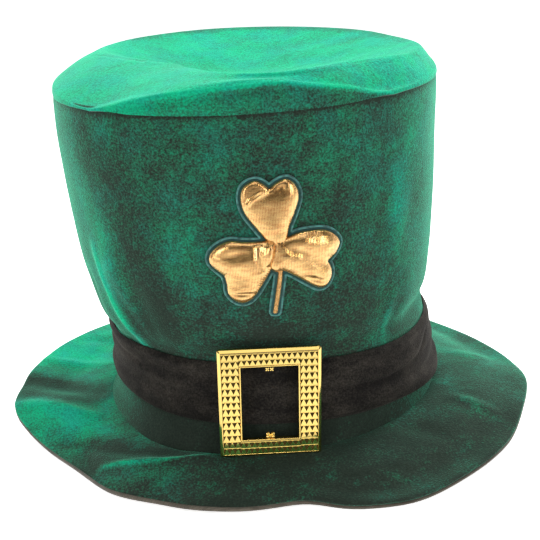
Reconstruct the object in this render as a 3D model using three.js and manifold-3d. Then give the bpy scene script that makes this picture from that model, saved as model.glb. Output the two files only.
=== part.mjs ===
// A tall costume hat of green velour: a flared crown with a dished top, a soft wavy brim, a black
// hatband, a moulded gold buckle and a padded gold shamrock. Millimetres, +Z up. The origin is on
// the surface that the brim rests on, below the middle of the whole hat, and the front is -Y.
// Azimuth 0 is the front, and 90 degrees is the side at +X.

import * as THREE from 'three';
import { mergeVertices } from 'three/addons/utils/BufferGeometryUtils.js';
import Module from 'manifold-3d';

const wasm = await Module();
wasm.setup();

// Driving dimensions of the cloth parts
const HEAD_RADIUS = 95.5;
const CROWN_HEIGHT = 183.5;
const CROWN_WALL = 2.4;
const TIP_ROLL = 16.5;
const TIP_EDGE_RADIUS = 2.4;
const DISH_FLOOR = -1;
const BRIM_WIDTH = 50;
const BRIM_RISE = 10.2;
const BRIM_TOP_LAYER = 2;
const BRIM_UNDER_LAYER = 1.5;
const BRIM_LIP_WIDTH = 1.6;
const GAP = 0.3;

// Driving dimensions of the hatband
const BAND_HEIGHT = 33;
const BAND_LIFT = 16;
const BAND_THICKNESS = 2.6;

// Driving dimensions of the buckle
const BUCKLE_WIDTH = 54;
const BUCKLE_HEIGHT = 60;
const BUCKLE_BAR_SIDE = 12.2;
const BUCKLE_BAR_END = 10.2;
const BUCKLE_PLATE = 2;
const BUCKLE_RIM_WIDTH = 1.6;
const BUCKLE_RIM_HEIGHT = 0.9;
const BUCKLE_PITCH_ACROSS = 2.7;
const BUCKLE_PITCH_UP = 3.8;
const BUCKLE_STUD_HEIGHT = 0.9;
const BUCKLE_STUD_SPACE = 0.25;
const BUCKLE_SIDEWAYS = -4;
const BUCKLE_LIFT = 0.7;
const BUCKLE_TURN = 1.4;
const BUCKLE_TAB_WIDTH = 6;
const BUCKLE_TAB_HEIGHT = 3.4;

// Driving dimensions of the shamrock
const LEAF_LENGTH = 32;
const LEAF_WIDTH = 29;
const LEAF_PUFF = 5;
const LEAF_RIM = 0.8;
const STEM_LENGTH = 25;
const STEM_WIDTH = 3;
const STEM_PUFF = 1.4;
const STEM_RIM = 0.6;
const EDGING_WIDTH = 2;
const EDGING_THICKNESS = 0.9;
const SHAMROCK_HEIGHT = 112;
const SHAMROCK_SIDEWAYS = 8.5;

// How finely the round forms are divided
const AROUND = 54;
const LEAF_STEPS = 20;
const LEAF_RINGS = 3;
const STEM_RINGS = 2;
const EDGING_RINGS = 4;
const EDGING_LEAST_TURN = 0.7;
const SEAT_STEP = 2;
const MERGE_DISTANCE = 1e-4;
const SAME_DISTANCE = 1e-6;

const BRIM_THICKNESS = BRIM_UNDER_LAYER + GAP + BRIM_TOP_LAYER;
const JOINT_HEIGHT = BRIM_RISE + BRIM_THICKNESS;

// Sections of the crown from the brim joint up to the tip's seam. Height and lean are shares of
// the crown's height, radius is a share of the head radius.
const CROWN_SECTIONS = [
  { height: 0, radius: 1.047, lean: -0.011 },
  { height: 0.035, radius: 1.02, lean: -0.008 },
  { height: 0.1, radius: 1, lean: -0.004 },
  { height: 0.18, radius: 0.99, lean: -0.006 },
  { height: 0.265, radius: 0.979, lean: -0.014 },
  { height: 0.31, radius: 0.995, lean: -0.025 },
  { height: 0.355, radius: 1.03, lean: -0.029 },
  { height: 0.435, radius: 1.058, lean: -0.034 },
  { height: 0.52, radius: 1.08, lean: -0.037 },
  { height: 0.68, radius: 1.102, lean: -0.041 },
  { height: 0.8, radius: 1.117, lean: -0.045 },
  { height: 0.9, radius: 1.126, lean: -0.047 },
  { height: 1, radius: 1.124, lean: -0.044 },
];

// Soft folds and dents of the crown wall. Height is a share of the crown's height, half width is
// in degrees, half height a share of the crown's height and depth a share of the head radius.
const CROWN_FOLDS = [
  { azimuth: -33, height: 0, halfWidth: 24, halfHeight: 0.05, depth: 0.06 },
  { azimuth: 45, height: 0, halfWidth: 30, halfHeight: 0.06, depth: -0.02 },
  { azimuth: -62, height: 0.33, halfWidth: 9, halfHeight: 0.07, depth: 0.022 },
  { azimuth: -44, height: 0.36, halfWidth: 8, halfHeight: 0.08, depth: -0.016 },
  { azimuth: 66, height: 0.3, halfWidth: 14, halfHeight: 0.05, depth: -0.016 },
  { azimuth: 40, height: 0.55, halfWidth: 18, halfHeight: 0.16, depth: -0.01 },
  { azimuth: -78, height: 0.62, halfWidth: 16, halfHeight: 0.14, depth: 0.01 },
  { azimuth: 150, height: 0.45, halfWidth: 20, halfHeight: 0.16, depth: -0.016 },
  { azimuth: -140, height: 0.6, halfWidth: 20, halfHeight: 0.18, depth: -0.014 },
];

// The tip around its edge. Fold is how far it has risen where it turns inwards and crest how far
// it rises in all, both as shares of the roll. The crest's place is a share of the tip's radius.
const TIP_SECTIONS = [
  { azimuth: -170, fold: 0.9, crestPlace: 0.93, crest: 1.12 },
  { azimuth: -140, fold: 0.84, crestPlace: 0.92, crest: 1.1 },
  { azimuth: -118, fold: 0.68, crestPlace: 0.84, crest: 1.08 },
  { azimuth: -98, fold: 0.5, crestPlace: 0.74, crest: 1.1 },
  { azimuth: -72, fold: 0.3, crestPlace: 0.58, crest: 1.06 },
  { azimuth: -46, fold: 0.1, crestPlace: 0.5, crest: 1 },
  { azimuth: -30, fold: 0.42, crestPlace: 0.57, crest: 0.98 },
  { azimuth: -17, fold: 0.7, crestPlace: 0.68, crest: 0.98 },
  { azimuth: 0, fold: 0.88, crestPlace: 0.87, crest: 0.97 },
  { azimuth: 11, fold: 0.8, crestPlace: 0.9, crest: 0.97 },
  { azimuth: 24, fold: 0.46, crestPlace: 0.86, crest: 0.99 },
  { azimuth: 38, fold: 0.2, crestPlace: 0.8, crest: 0.96 },
  { azimuth: 60, fold: 0.2, crestPlace: 0.86, crest: 0.9 },
  { azimuth: 82, fold: 0.36, crestPlace: 0.9, crest: 0.88 },
  { azimuth: 112, fold: 0.5, crestPlace: 0.92, crest: 0.86 },
  { azimuth: 142, fold: 0.74, crestPlace: 0.93, crest: 0.98 },
];

// Rings between the tip's edge and its crest, and between its crest and its middle. Along is the
// share of the way outwards to the crest, or onwards from the edge, and rise the share of the height.
const TIP_SHOULDER = [
  { along: 0.28, rise: 0.5 },
  { along: 0.62, rise: 0.86 },
];
const TIP_DISH = [
  { along: 0.8, rise: 0.68 },
  { along: 0.45, rise: 0.2 },
];
const TIP_WALL_RISE = 0.7;
const TIP_EDGE_RISE = 0.2;

// The brim around its edge. Reach is a share of the brim's width and knee the place of its crease
// as a share of the reach. Heights of the underside are shares of the brim's rise, and below zero
// they are flattened by the surface. Wrap is how far the lining comes up round the edge.
const BRIM_SECTIONS = [
  { azimuth: -170, reach: 0.96, knee: 0.5, kneeHeight: 0.5, edgeHeight: -0.36, wrap: 0.1 },
  { azimuth: -150, reach: 0.98, knee: 0.5, kneeHeight: 0.8, edgeHeight: 0.3, wrap: 0.1 },
  { azimuth: -135, reach: 1, knee: 0.5, kneeHeight: 0.95, edgeHeight: 0.8, wrap: 0.1 },
  { azimuth: -118, reach: 1.03, knee: 0.5, kneeHeight: 0.9, edgeHeight: 1.15, wrap: 0.1 },
  { azimuth: -102, reach: 1.1, knee: 0.5, kneeHeight: 0.65, edgeHeight: 1.2, wrap: 0.1 },
  { azimuth: -88, reach: 1.13, knee: 0.5, kneeHeight: 0.95, edgeHeight: 1.2, wrap: 0.1 },
  { azimuth: -79, reach: 1.15, knee: 0.5, kneeHeight: 1.2, edgeHeight: 0.9, wrap: 0.4 },
  { azimuth: -68, reach: 0.93, knee: 0.5, kneeHeight: 0.85, edgeHeight: 0.2, wrap: 0.6 },
  { azimuth: -56, reach: 0.76, knee: 0.55, kneeHeight: 0.5, edgeHeight: -0.3, wrap: 0.7 },
  { azimuth: -44, reach: 0.71, knee: 0.72, kneeHeight: 0.55, edgeHeight: -0.1, wrap: 0.9 },
  { azimuth: -37, reach: 0.72, knee: 0.5, kneeHeight: 0.8, edgeHeight: 0.05, wrap: 1 },
  { azimuth: -28, reach: 0.67, knee: 0.27, kneeHeight: 0.95, edgeHeight: 0.1, wrap: 1 },
  { azimuth: -17, reach: 0.7, knee: 0.14, kneeHeight: 1, edgeHeight: 0.15, wrap: 1 },
  { azimuth: -5, reach: 0.68, knee: 0.3, kneeHeight: 0.8, edgeHeight: 0.1, wrap: 0.75 },
  { azimuth: 6, reach: 0.66, knee: 0.42, kneeHeight: 0.62, edgeHeight: 0.15, wrap: 0.2 },
  { azimuth: 15, reach: 0.84, knee: 0.45, kneeHeight: 0.6, edgeHeight: -0.15, wrap: 0.1 },
  { azimuth: 26, reach: 1.03, knee: 0.5, kneeHeight: 0.55, edgeHeight: -0.36, wrap: 0.1 },
  { azimuth: 41, reach: 1.05, knee: 0.5, kneeHeight: 0.5, edgeHeight: -0.36, wrap: 0.1 },
  { azimuth: 57, reach: 1.07, knee: 0.5, kneeHeight: 0.62, edgeHeight: -0.1, wrap: 0.1 },
  { azimuth: 72, reach: 1.07, knee: 0.5, kneeHeight: 0.8, edgeHeight: 0.25, wrap: 0.1 },
  { azimuth: 89, reach: 1.14, knee: 0.5, kneeHeight: 0.65, edgeHeight: 0.1, wrap: 0.1 },
  { azimuth: 106, reach: 1.03, knee: 0.5, kneeHeight: 0.45, edgeHeight: -0.36, wrap: 0.1 },
  { azimuth: 126, reach: 0.93, knee: 0.5, kneeHeight: 0.45, edgeHeight: -0.36, wrap: 0.1 },
  { azimuth: 155, reach: 0.94, knee: 0.5, kneeHeight: 0.5, edgeHeight: -0.3, wrap: 0.1 },
];

// Places of the brim's rings, as shares of the way from the crown to the crease and from there on
const BRIM_INSIDE = [0, 0.55, 1];
const BRIM_OUTSIDE = [0.36, 0.66, 1];

// The lip of the lining covers at least this share of the velour's edge, and at most the next
const LEAST_WRAP = 0.05;
const LIP_COVER = 0.8;

// The hatband around the crown. Drop lowers its lower edge and dip its upper edge, as shares of
// the band's height, and slack is how far its lower folds hang out, as a share of its thickness.
const BAND_SECTIONS = [
  { azimuth: -150, drop: 0.2, dip: 0.05, slack: 0.3 },
  { azimuth: -84, drop: -0.04, dip: -0.03, slack: 0.1 },
  { azimuth: -30, drop: 0, dip: 0, slack: 0.1 },
  { azimuth: 0, drop: 0, dip: 0, slack: 0 },
  { azimuth: 22, drop: 0.06, dip: 0.06, slack: 0.1 },
  { azimuth: 45, drop: 0.14, dip: 0.14, slack: 0.3 },
  { azimuth: 62, drop: 0.26, dip: 0.18, slack: 0.5 },
  { azimuth: 80, drop: 0.36, dip: 0.18, slack: 0.6 },
  { azimuth: 110, drop: 0.36, dip: 0.14, slack: 0.5 },
  { azimuth: 160, drop: 0.28, dip: 0.08, slack: 0.4 },
];

// Lengthwise folds of the band: place is a share of its height, full a share of its thickness,
// and hang says how much of the slack that line takes up.
const BAND_FOLDS = [
  { place: 0, full: 0.45, hang: 0.6 },
  { place: 0.07, full: 1, hang: 1 },
  { place: 0.26, full: 1.05, hang: 0.9 },
  { place: 0.36, full: 0.62, hang: 0.2 },
  { place: 0.62, full: 0.95, hang: 0 },
  { place: 0.76, full: 0.7, hang: 0 },
  { place: 0.93, full: 1, hang: 0 },
  { place: 1, full: 0.45, hang: 0 },
];

// Places of the points on the back of the band, from its upper to its lower edge
const BAND_BACK = [1, 0.67, 0.33, 0];

// The three leaves: where the inner end of each lies, as shares of the leaf's length from the
// shamrock's middle, which way the leaf points, and its length and width as shares of a leaf's.
const LEAVES = [
  { across: 0.03, up: 0.01, turn: 91, length: 1.26, width: 0.99 },
  { across: 0.08, up: 0.03, turn: 204, length: 1, width: 1.03 },
  { across: -0.13, up: 0.01, turn: -6, length: 1.22, width: 1.07 },
];

// A leaf's outline is a sum of waves along its length, and its lobes bulge with a power of a wave
const HEART_WAVES = [13, -3.4, -2, -1];
const HEART_START = 15.4;
const HEART_SPAN = 27;
const HEART_LOBE = 1.7;

// The stem: where its upper end lies, as shares of the leaf's length, how far it leans, as a share
// of its own length, and its width above and below, as shares of the stem's width
const STEM = { across: 0.14, up: -0.15, lean: 0.2, above: 0.8, below: 1.2 };
const STEM_STEPS = [0, 0.5, 1];

const radians = THREE.MathUtils.degToRad;

// A value of a table with a row for each azimuth, smooth all the way round
function around(rows, column, azimuth) {
  const count = rows.length;
  let turn = azimuth;
  while (turn < rows[0].azimuth) turn += 360;
  while (turn >= rows[0].azimuth + 360) turn -= 360;
  const at = (index) => rows[(index + count) % count].azimuth + 360 * Math.floor(index / count);
  const value = (index) => rows[(index + count) % count][column];
  let left = 0;
  while (at(left + 1) <= turn) left += 1;
  const span = at(left + 1) - at(left);
  const share = (turn - at(left)) / span;
  const slope = (index) => (value(index + 1) - value(index - 1)) / (at(index + 1) - at(index - 1));
  const square = share * share;
  const cube = square * share;
  return (2 * cube - 3 * square + 1) * value(left)
    + (cube - 2 * square + share) * span * slope(left)
    + (3 * square - 2 * cube) * value(left + 1)
    + (cube - square) * span * slope(left + 1);
}

// A value of the crown's table at a share of its height
function crownValue(column, share) {
  const rows = CROWN_SECTIONS;
  if (share <= rows[0].height) return rows[0][column];
  let upper = 1;
  while (upper < rows.length - 1 && rows[upper].height < share) upper += 1;
  const low = rows[upper - 1];
  const high = rows[upper];
  const mix = Math.min(1, (share - low.height) / (high.height - low.height));
  return low[column] + (high[column] - low[column]) * mix;
}

function crownShare(z) {
  return (z - JOINT_HEIGHT) / CROWN_HEIGHT;
}

// Outer radius of the crown wall
function crownRadius(azimuth, z) {
  const share = crownShare(z);
  let radius = crownValue('radius', share);
  for (const fold of CROWN_FOLDS) {
    const turn = THREE.MathUtils.euclideanModulo(azimuth - fold.azimuth + 180, 360) - 180;
    const across = turn / fold.halfWidth;
    const up = (share - fold.height) / fold.halfHeight;
    radius += fold.depth * Math.exp(-across * across - up * up);
  }
  return HEAD_RADIUS * radius;
}

// Heights of the crown wall's sections, from its lower edge in the brim's joint to the tip's seam
function crownHeights() {
  const heights = CROWN_SECTIONS.map((row) => JOINT_HEIGHT + CROWN_HEIGHT * row.height);
  return [BRIM_RISE, ...heights];
}

// Outer radius of the wall as it is built, straight from each section to the next
function wallRadius(azimuth, z) {
  const heights = crownHeights();
  let upper = 1;
  while (upper < heights.length - 1 && heights[upper] < z) upper += 1;
  const low = heights[upper - 1];
  const share = (z - low) / (heights[upper] - low);
  return THREE.MathUtils.lerp(crownRadius(azimuth, low), crownRadius(azimuth, heights[upper]), share);
}

// A point at an azimuth, a distance from the crown's leaning middle line and a height
function place(azimuth, radius, z) {
  const lean = CROWN_HEIGHT * crownValue('lean', Math.min(1, crownShare(z)));
  const angle = radians(azimuth);
  return new THREE.Vector3(lean + radius * Math.sin(angle), -radius * Math.cos(angle), z);
}

function azimuths() {
  return Array.from({ length: AROUND }, (_, index) => (360 * index) / AROUND - 180);
}

// A closed geometry from corner points and triangles, with its faces turned outwards
function closedGeometry(points, triangles) {
  let volume = 0;
  for (const [a, b, c] of triangles) {
    volume += points[a].dot(new THREE.Vector3().crossVectors(points[b], points[c]));
  }
  const turned = volume < 0 ? triangles.map(([a, b, c]) => [a, c, b]) : triangles;
  const places = points.flatMap((point) => point.toArray());
  const geometry = new THREE.BufferGeometry();
  geometry.setAttribute('position', new THREE.Float32BufferAttribute(places, 3));
  geometry.setIndex(turned.flat());
  geometry.computeVertexNormals();
  return geometry;
}

// True where one point lies nearer the middle line than another, or lower where both are as near
function liesInside(point, other) {
  const nearer = Math.hypot(point.x, point.y) - Math.hypot(other.x, other.y);
  return Math.abs(nearer) > SAME_DISTANCE ? nearer < 0 : point.z < other.z;
}

// Joins the outlines of neighbouring sections with pairs of triangles. Each pair is divided from
// its inner to its outer corner, so that layers which lie on each other are divided alike.
function bridge(points, triangles, first, second, size, closed) {
  const last = closed ? size : size - 1;
  for (let index = 0; index < last; index += 1) {
    const [a, b] = [first + index, first + ((index + 1) % size)];
    const [c, d] = [second + index, second + ((index + 1) % size)];
    if (liesInside(points[a], points[b])) {
      triangles.push([a, c, d], [a, d, b]);
    } else {
      triangles.push([a, c, b], [c, d, b]);
    }
  }
}

// A closed ring swept round the hat from one closed outline for each azimuth
function sweptRing(outlineAt) {
  const outlines = azimuths().map(outlineAt);
  const size = outlines[0].length;
  const points = outlines.flat();
  const triangles = [];
  outlines.forEach((_, index) => {
    bridge(points, triangles, index * size, ((index + 1) % AROUND) * size, size, true);
  });
  return closedGeometry(points, triangles);
}

// A closed cap swept round the hat: each section runs from the middle of its top to its rim and
// back to the middle of its underside
function sweptCap(sectionAt, topMiddle, underMiddle) {
  const sections = azimuths().map(sectionAt);
  const size = sections[0].length;
  const points = sections.flat();
  const top = points.push(topMiddle) - 1;
  const under = points.push(underMiddle) - 1;
  const triangles = [];
  sections.forEach((_, index) => {
    const first = index * size;
    const second = ((index + 1) % AROUND) * size;
    bridge(points, triangles, first, second, size, false);
    triangles.push([top, second, first]);
    triangles.push([under, first + size - 1, second + size - 1]);
  });
  return closedGeometry(points, triangles);
}

function crownSide() {
  const heights = crownHeights();
  const innerHeights = heights.filter((_, index) => index % 2 === 0 || index === heights.length - 1);
  return sweptRing((azimuth) => {
    const outer = heights.map((z) => place(azimuth, crownRadius(azimuth, z), z));
    const inner = innerHeights.map((z) => place(azimuth, crownRadius(azimuth, z) - CROWN_WALL, z));
    return [...outer, ...inner.reverse()];
  });
}

// Rings of the tip from its seam to its middle, as shares of the radius and heights over the seam
function tipProfile(azimuth) {
  const fold = TIP_ROLL * around(TIP_SECTIONS, 'fold', azimuth);
  const crest = TIP_ROLL * around(TIP_SECTIONS, 'crest', azimuth);
  const crestPlace = around(TIP_SECTIONS, 'crestPlace', azimuth);
  const turn = 1 - TIP_EDGE_RADIUS / (HEAD_RADIUS * crownValue('radius', 1));
  const shoulder = ({ along, rise }) => ({
    share: turn + (crestPlace - turn) * along,
    height: fold + (crest - fold) * rise,
  });
  const dish = ({ along, rise }) => ({
    share: crestPlace * along,
    height: DISH_FLOOR + (crest - DISH_FLOOR) * rise,
  });
  return [
    { share: 1, height: 0 },
    { share: 1, height: fold * TIP_WALL_RISE },
    { share: turn, height: fold + TIP_EDGE_RADIUS * TIP_EDGE_RISE },
    ...TIP_SHOULDER.map(shoulder),
    { share: crestPlace, height: crest },
    ...TIP_DISH.map(dish),
  ];
}

function crownTip() {
  const seam = JOINT_HEIGHT + CROWN_HEIGHT + GAP;
  const sectionAt = (azimuth) => {
    const radius = crownRadius(azimuth, JOINT_HEIGHT + CROWN_HEIGHT);
    const outer = tipProfile(azimuth).map((ring) => {
      return new THREE.Vector2(radius * ring.share, seam + ring.height);
    });
    const inner = outer.map((point, index) => {
      const before = outer[Math.max(0, index - 1)];
      const after = outer[Math.min(outer.length - 1, index + 1)];
      const along = new THREE.Vector2().subVectors(after, before).normalize();
      return new THREE.Vector2(point.x - CROWN_WALL * along.y, point.y + CROWN_WALL * along.x);
    });
    inner[0].set(radius - CROWN_WALL, seam);
    const kept = inner.filter((_, index) => index !== 1 && index !== 4);
    const toSpace = (point) => place(azimuth, point.x, point.y);
    return [...outer.reverse().map(toSpace), ...kept.map(toSpace)];
  };
  const floor = seam + DISH_FLOOR;
  return sweptCap(sectionAt, place(0, 0, floor), place(0, 0, floor - CROWN_WALL));
}

// Rings of the brim from the crown to its edge: distance from the middle line, and height of the
// underside, which the surface flattens where it would be below it
function brimProfile(azimuth) {
  const start = crownRadius(azimuth, JOINT_HEIGHT) + GAP;
  const reach = BRIM_WIDTH * around(BRIM_SECTIONS, 'reach', azimuth);
  const knee = around(BRIM_SECTIONS, 'knee', azimuth);
  const kneeHeight = BRIM_RISE * around(BRIM_SECTIONS, 'kneeHeight', azimuth);
  const edgeHeight = BRIM_RISE * around(BRIM_SECTIONS, 'edgeHeight', azimuth);
  const inside = (share) => ({
    radius: start + reach * knee * share,
    height: BRIM_RISE + (kneeHeight - BRIM_RISE) * share,
  });
  const outside = (share) => ({
    radius: start + reach * (knee + (1 - knee) * share),
    height: Math.max(0, kneeHeight + (edgeHeight - kneeHeight) * share),
  });
  return [...BRIM_INSIDE.map(inside), ...BRIM_OUTSIDE.map(outside)];
}

// Height over the lining at which its lip meets the velour on the edge of the brim
function lipHeight(azimuth) {
  const wrap = THREE.MathUtils.clamp(around(BRIM_SECTIONS, 'wrap', azimuth), LEAST_WRAP, 1);
  return BRIM_UNDER_LAYER + GAP / 2 + LIP_COVER * BRIM_TOP_LAYER * wrap;
}

// The last ring of the brim moved inwards along its slope
function stepRing(rings, inwards) {
  const edge = rings[rings.length - 1];
  const before = rings[rings.length - 2];
  const slope = (edge.height - before.height) / (edge.radius - before.radius);
  return { radius: edge.radius - inwards, height: edge.height - slope * inwards };
}

function brimTop() {
  return sweptRing((azimuth) => {
    const rings = brimProfile(azimuth);
    const edge = rings[rings.length - 1];
    const step = stepRing(rings, BRIM_LIP_WIDTH + GAP);
    const lip = lipHeight(azimuth) + GAP / 2;
    const upper = rings.map((ring) => place(azimuth, ring.radius, ring.height + BRIM_THICKNESS));
    const lower = [...rings.slice(0, -1), step].map((ring) => {
      return place(azimuth, ring.radius, ring.height + BRIM_THICKNESS - BRIM_TOP_LAYER);
    });
    const lips = [edge, step].map((ring) => place(azimuth, ring.radius, ring.height + lip));
    return [...upper, ...lips, ...lower.reverse()];
  });
}

function brimUnder() {
  return sweptRing((azimuth) => {
    const rings = brimProfile(azimuth);
    const edge = rings[rings.length - 1];
    const step = stepRing(rings, BRIM_LIP_WIDTH);
    const lip = lipHeight(azimuth) - GAP / 2;
    const upper = [...rings.slice(0, -1), step].map((ring) => {
      return place(azimuth, ring.radius, ring.height + BRIM_UNDER_LAYER);
    });
    const lower = rings.map((ring) => place(azimuth, ring.radius, ring.height));
    const lips = [step, edge].map((ring) => place(azimuth, ring.radius, ring.height + lip));
    return [...upper, ...lips, ...lower.reverse()];
  });
}

// How far a fold of the band stands off the band's seat
function bandFullness(fold, azimuth) {
  return BAND_THICKNESS * (fold.full + fold.hang * around(BAND_SECTIONS, 'slack', azimuth));
}

function hatband() {
  const bottom = JOINT_HEIGHT + BAND_LIFT;
  return sweptRing((azimuth) => {
    const low = bottom - BAND_HEIGHT * around(BAND_SECTIONS, 'drop', azimuth);
    const high = bottom + BAND_HEIGHT * (1 - around(BAND_SECTIONS, 'dip', azimuth));
    const heightAt = (share) => low + (high - low) * share;
    const seat = (z) => wallRadius(azimuth, z) + GAP;
    const outer = BAND_FOLDS.map((fold) => {
      const z = heightAt(fold.place);
      return place(azimuth, seat(z) + bandFullness(fold, azimuth), z);
    });
    const inner = BAND_BACK.map((share) => place(azimuth, seat(heightAt(share)), heightAt(share)));
    return [...outer, ...inner];
  });
}

// Turns a closed geometry into a solid that can be joined and cut, and back again
function toSolid(geometry) {
  const plain = geometry.clone();
  plain.deleteAttribute('normal');
  plain.deleteAttribute('uv');
  const merged = mergeVertices(plain, MERGE_DISTANCE);
  return new wasm.Manifold(new wasm.Mesh({
    numProp: 3,
    vertProperties: new Float32Array(merged.attributes.position.array),
    triVerts: new Uint32Array(merged.index.array),
  }));
}

function toGeometry(solid) {
  const mesh = solid.getMesh();
  const geometry = new THREE.BufferGeometry();
  geometry.setAttribute('position', new THREE.Float32BufferAttribute(mesh.vertProperties, 3));
  geometry.setIndex(Array.from(mesh.triVerts));
  geometry.computeVertexNormals();
  return geometry;
}

function block(width, depth, height, x, y, z) {
  return toSolid(new THREE.BoxGeometry(width, depth, height).translate(x, y, z));
}

function joined(solids) {
  return solids.reduce((sum, solid) => sum.add(solid));
}

// A rectangular frame in the XZ plane whose back is at y = 0 and whose front is at y = -depth
function rectangle(width, height, barSide, barEnd, depth) {
  const outer = block(width, depth, height, 0, -depth / 2, 0);
  const window = block(width - 2 * barSide, 3 * depth, height - 2 * barEnd, 0, 0, 0);
  return outer.subtract(window);
}

// Places of the studs across or up a bar: as many as fit between the rims, evenly spaced
function studRow(length, pitch) {
  const count = Math.max(1, Math.round(length / pitch));
  return Array.from({ length: count }, (_, index) => (index - (count - 1) / 2) * (length / count));
}

// The pyramids of one bar, which is centred on x and z
function studField(x, z, width, height) {
  const across = studRow(width, BUCKLE_PITCH_ACROSS);
  const up = studRow(height, BUCKLE_PITCH_UP);
  const size = [width / across.length, height / up.length];
  return across.flatMap((dx) => up.map((dz) => stud(x + dx, z + dz, ...size)));
}

// One little pyramid that stands on the front of the plate
function stud(x, z, width, height) {
  const sunk = 0.1;
  const half = [width, height].map((size) => (size - BUCKLE_STUD_SPACE) / 2);
  const back = -BUCKLE_PLATE + sunk;
  const front = -BUCKLE_PLATE - BUCKLE_STUD_HEIGHT;
  const points = [
    new THREE.Vector3(x - half[0], back, z - half[1]),
    new THREE.Vector3(x + half[0], back, z - half[1]),
    new THREE.Vector3(x + half[0], back, z + half[1]),
    new THREE.Vector3(x - half[0], back, z + half[1]),
    new THREE.Vector3(x, front, z),
  ];
  const sides = [[0, 1, 4], [1, 2, 4], [2, 3, 4], [3, 0, 4]];
  const base = [[0, 2, 1], [0, 3, 2]];
  return toSolid(closedGeometry(points, [...sides, ...base]));
}

function buckle() {
  const rim = BUCKLE_RIM_WIDTH;
  const thick = BUCKLE_PLATE + BUCKLE_RIM_HEIGHT;
  const windowWidth = BUCKLE_WIDTH - 2 * BUCKLE_BAR_SIDE;
  const windowHeight = BUCKLE_HEIGHT - 2 * BUCKLE_BAR_END;
  const plate = rectangle(BUCKLE_WIDTH, BUCKLE_HEIGHT, BUCKLE_BAR_SIDE, BUCKLE_BAR_END, BUCKLE_PLATE);
  const outerRim = rectangle(BUCKLE_WIDTH, BUCKLE_HEIGHT, rim, rim, thick);
  const innerRim = rectangle(windowWidth + 2 * rim, windowHeight + 2 * rim, rim, rim, thick);
  const sideField = BUCKLE_BAR_SIDE - 2 * rim;
  const endField = BUCKLE_BAR_END - 2 * rim;
  const sideX = (BUCKLE_WIDTH - BUCKLE_BAR_SIDE) / 2;
  const endZ = (BUCKLE_HEIGHT - BUCKLE_BAR_END) / 2;
  const studs = [
    ...studField(-sideX, 0, sideField, BUCKLE_HEIGHT - 2 * rim),
    ...studField(sideX, 0, sideField, BUCKLE_HEIGHT - 2 * rim),
    ...studField(0, -endZ, windowWidth + 2 * rim, endField),
    ...studField(0, endZ, windowWidth + 2 * rim, endField),
  ];
  const tabs = [-1, 1].map((side) => {
    const z = side * (windowHeight - BUCKLE_TAB_HEIGHT + rim) / 2;
    return block(BUCKLE_TAB_WIDTH, BUCKLE_PLATE, BUCKLE_TAB_HEIGHT + rim, 0, -BUCKLE_PLATE / 2, z);
  });
  return toGeometry(joined([plate, outerRim, innerRim, ...tabs, ...studs]));
}

// How far forward the crown and the hatband reach behind the buckle
function buckleSeat() {
  let front = 0;
  const halfTurn = THREE.MathUtils.radToDeg(BUCKLE_WIDTH / 2 / HEAD_RADIUS);
  const low = JOINT_HEIGHT + BAND_LIFT - SEAT_STEP;
  const high = low + BAND_HEIGHT + 2 * SEAT_STEP;
  for (let azimuth = -halfTurn; azimuth <= halfTurn; azimuth += SEAT_STEP) {
    const fullest = Math.max(...BAND_FOLDS.map((fold) => bandFullness(fold, azimuth)));
    for (let up = -BUCKLE_HEIGHT / 2; up <= BUCKLE_HEIGHT / 2; up += SEAT_STEP) {
      const z = buckleMiddle() + up;
      const proud = z > low && z < high ? fullest + GAP : 0;
      front = Math.max(front, -place(azimuth, wallRadius(azimuth, z) + proud, z).y);
    }
  }
  return front + GAP;
}

function buckleMiddle() {
  return JOINT_HEIGHT + BUCKLE_LIFT + BUCKLE_HEIGHT / 2;
}

// A heart whose stem end is at the origin and whose lobes lie along +X
function heartOutline(length, width) {
  const points = [];
  for (let step = 0; step < LEAF_STEPS; step += 1) {
    const angle = (2 * Math.PI * (step + 0.5)) / LEAF_STEPS;
    const across = Math.sign(Math.sin(angle)) * Math.abs(Math.sin(angle)) ** HEART_LOBE;
    const waves = HEART_WAVES.map((wave, index) => wave * Math.cos((index + 1) * angle));
    const along = waves.reduce((sum, wave) => sum + wave, HEART_START);
    points.push(new THREE.Vector2((length * along) / HEART_SPAN, (width / 2) * across));
  }
  return points;
}

function leafOutline(leaf) {
  const outline = heartOutline(LEAF_LENGTH * leaf.length, LEAF_WIDTH * leaf.width);
  const middle = new THREE.Vector2(0, 0);
  return outline.map((point) => {
    return point.clone().rotateAround(middle, radians(leaf.turn))
      .add(new THREE.Vector2(LEAF_LENGTH * leaf.across, LEAF_LENGTH * leaf.up));
  });
}

// The stem widens downwards and leans a little
function stemOutline() {
  const top = new THREE.Vector2(STEM.across * LEAF_LENGTH, STEM.up * LEAF_LENGTH);
  const side = (share, hand) => {
    const halfWidth = (STEM_WIDTH / 2) * (STEM.above + (STEM.below - STEM.above) * share);
    const middle = top.x - STEM.lean * STEM_LENGTH * share;
    return new THREE.Vector2(middle + hand * halfWidth, top.y - STEM_LENGTH * share);
  };
  const left = STEM_STEPS.map((share) => side(share, -1));
  const right = STEM_STEPS.map((share) => side(share, 1)).reverse();
  return [...left, ...right];
}

// The outline moved outwards by an even amount
function grown(outline, amount) {
  const turning = THREE.ShapeUtils.area(outline) < 0 ? -1 : 1;
  return outline.map((point, index) => {
    const before = outline[(index + outline.length - 1) % outline.length];
    const after = outline[(index + 1) % outline.length];
    const along = new THREE.Vector2().subVectors(after, before).normalize();
    return new THREE.Vector2(point.x + turning * amount * along.y, point.y - turning * amount * along.x);
  });
}

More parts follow.
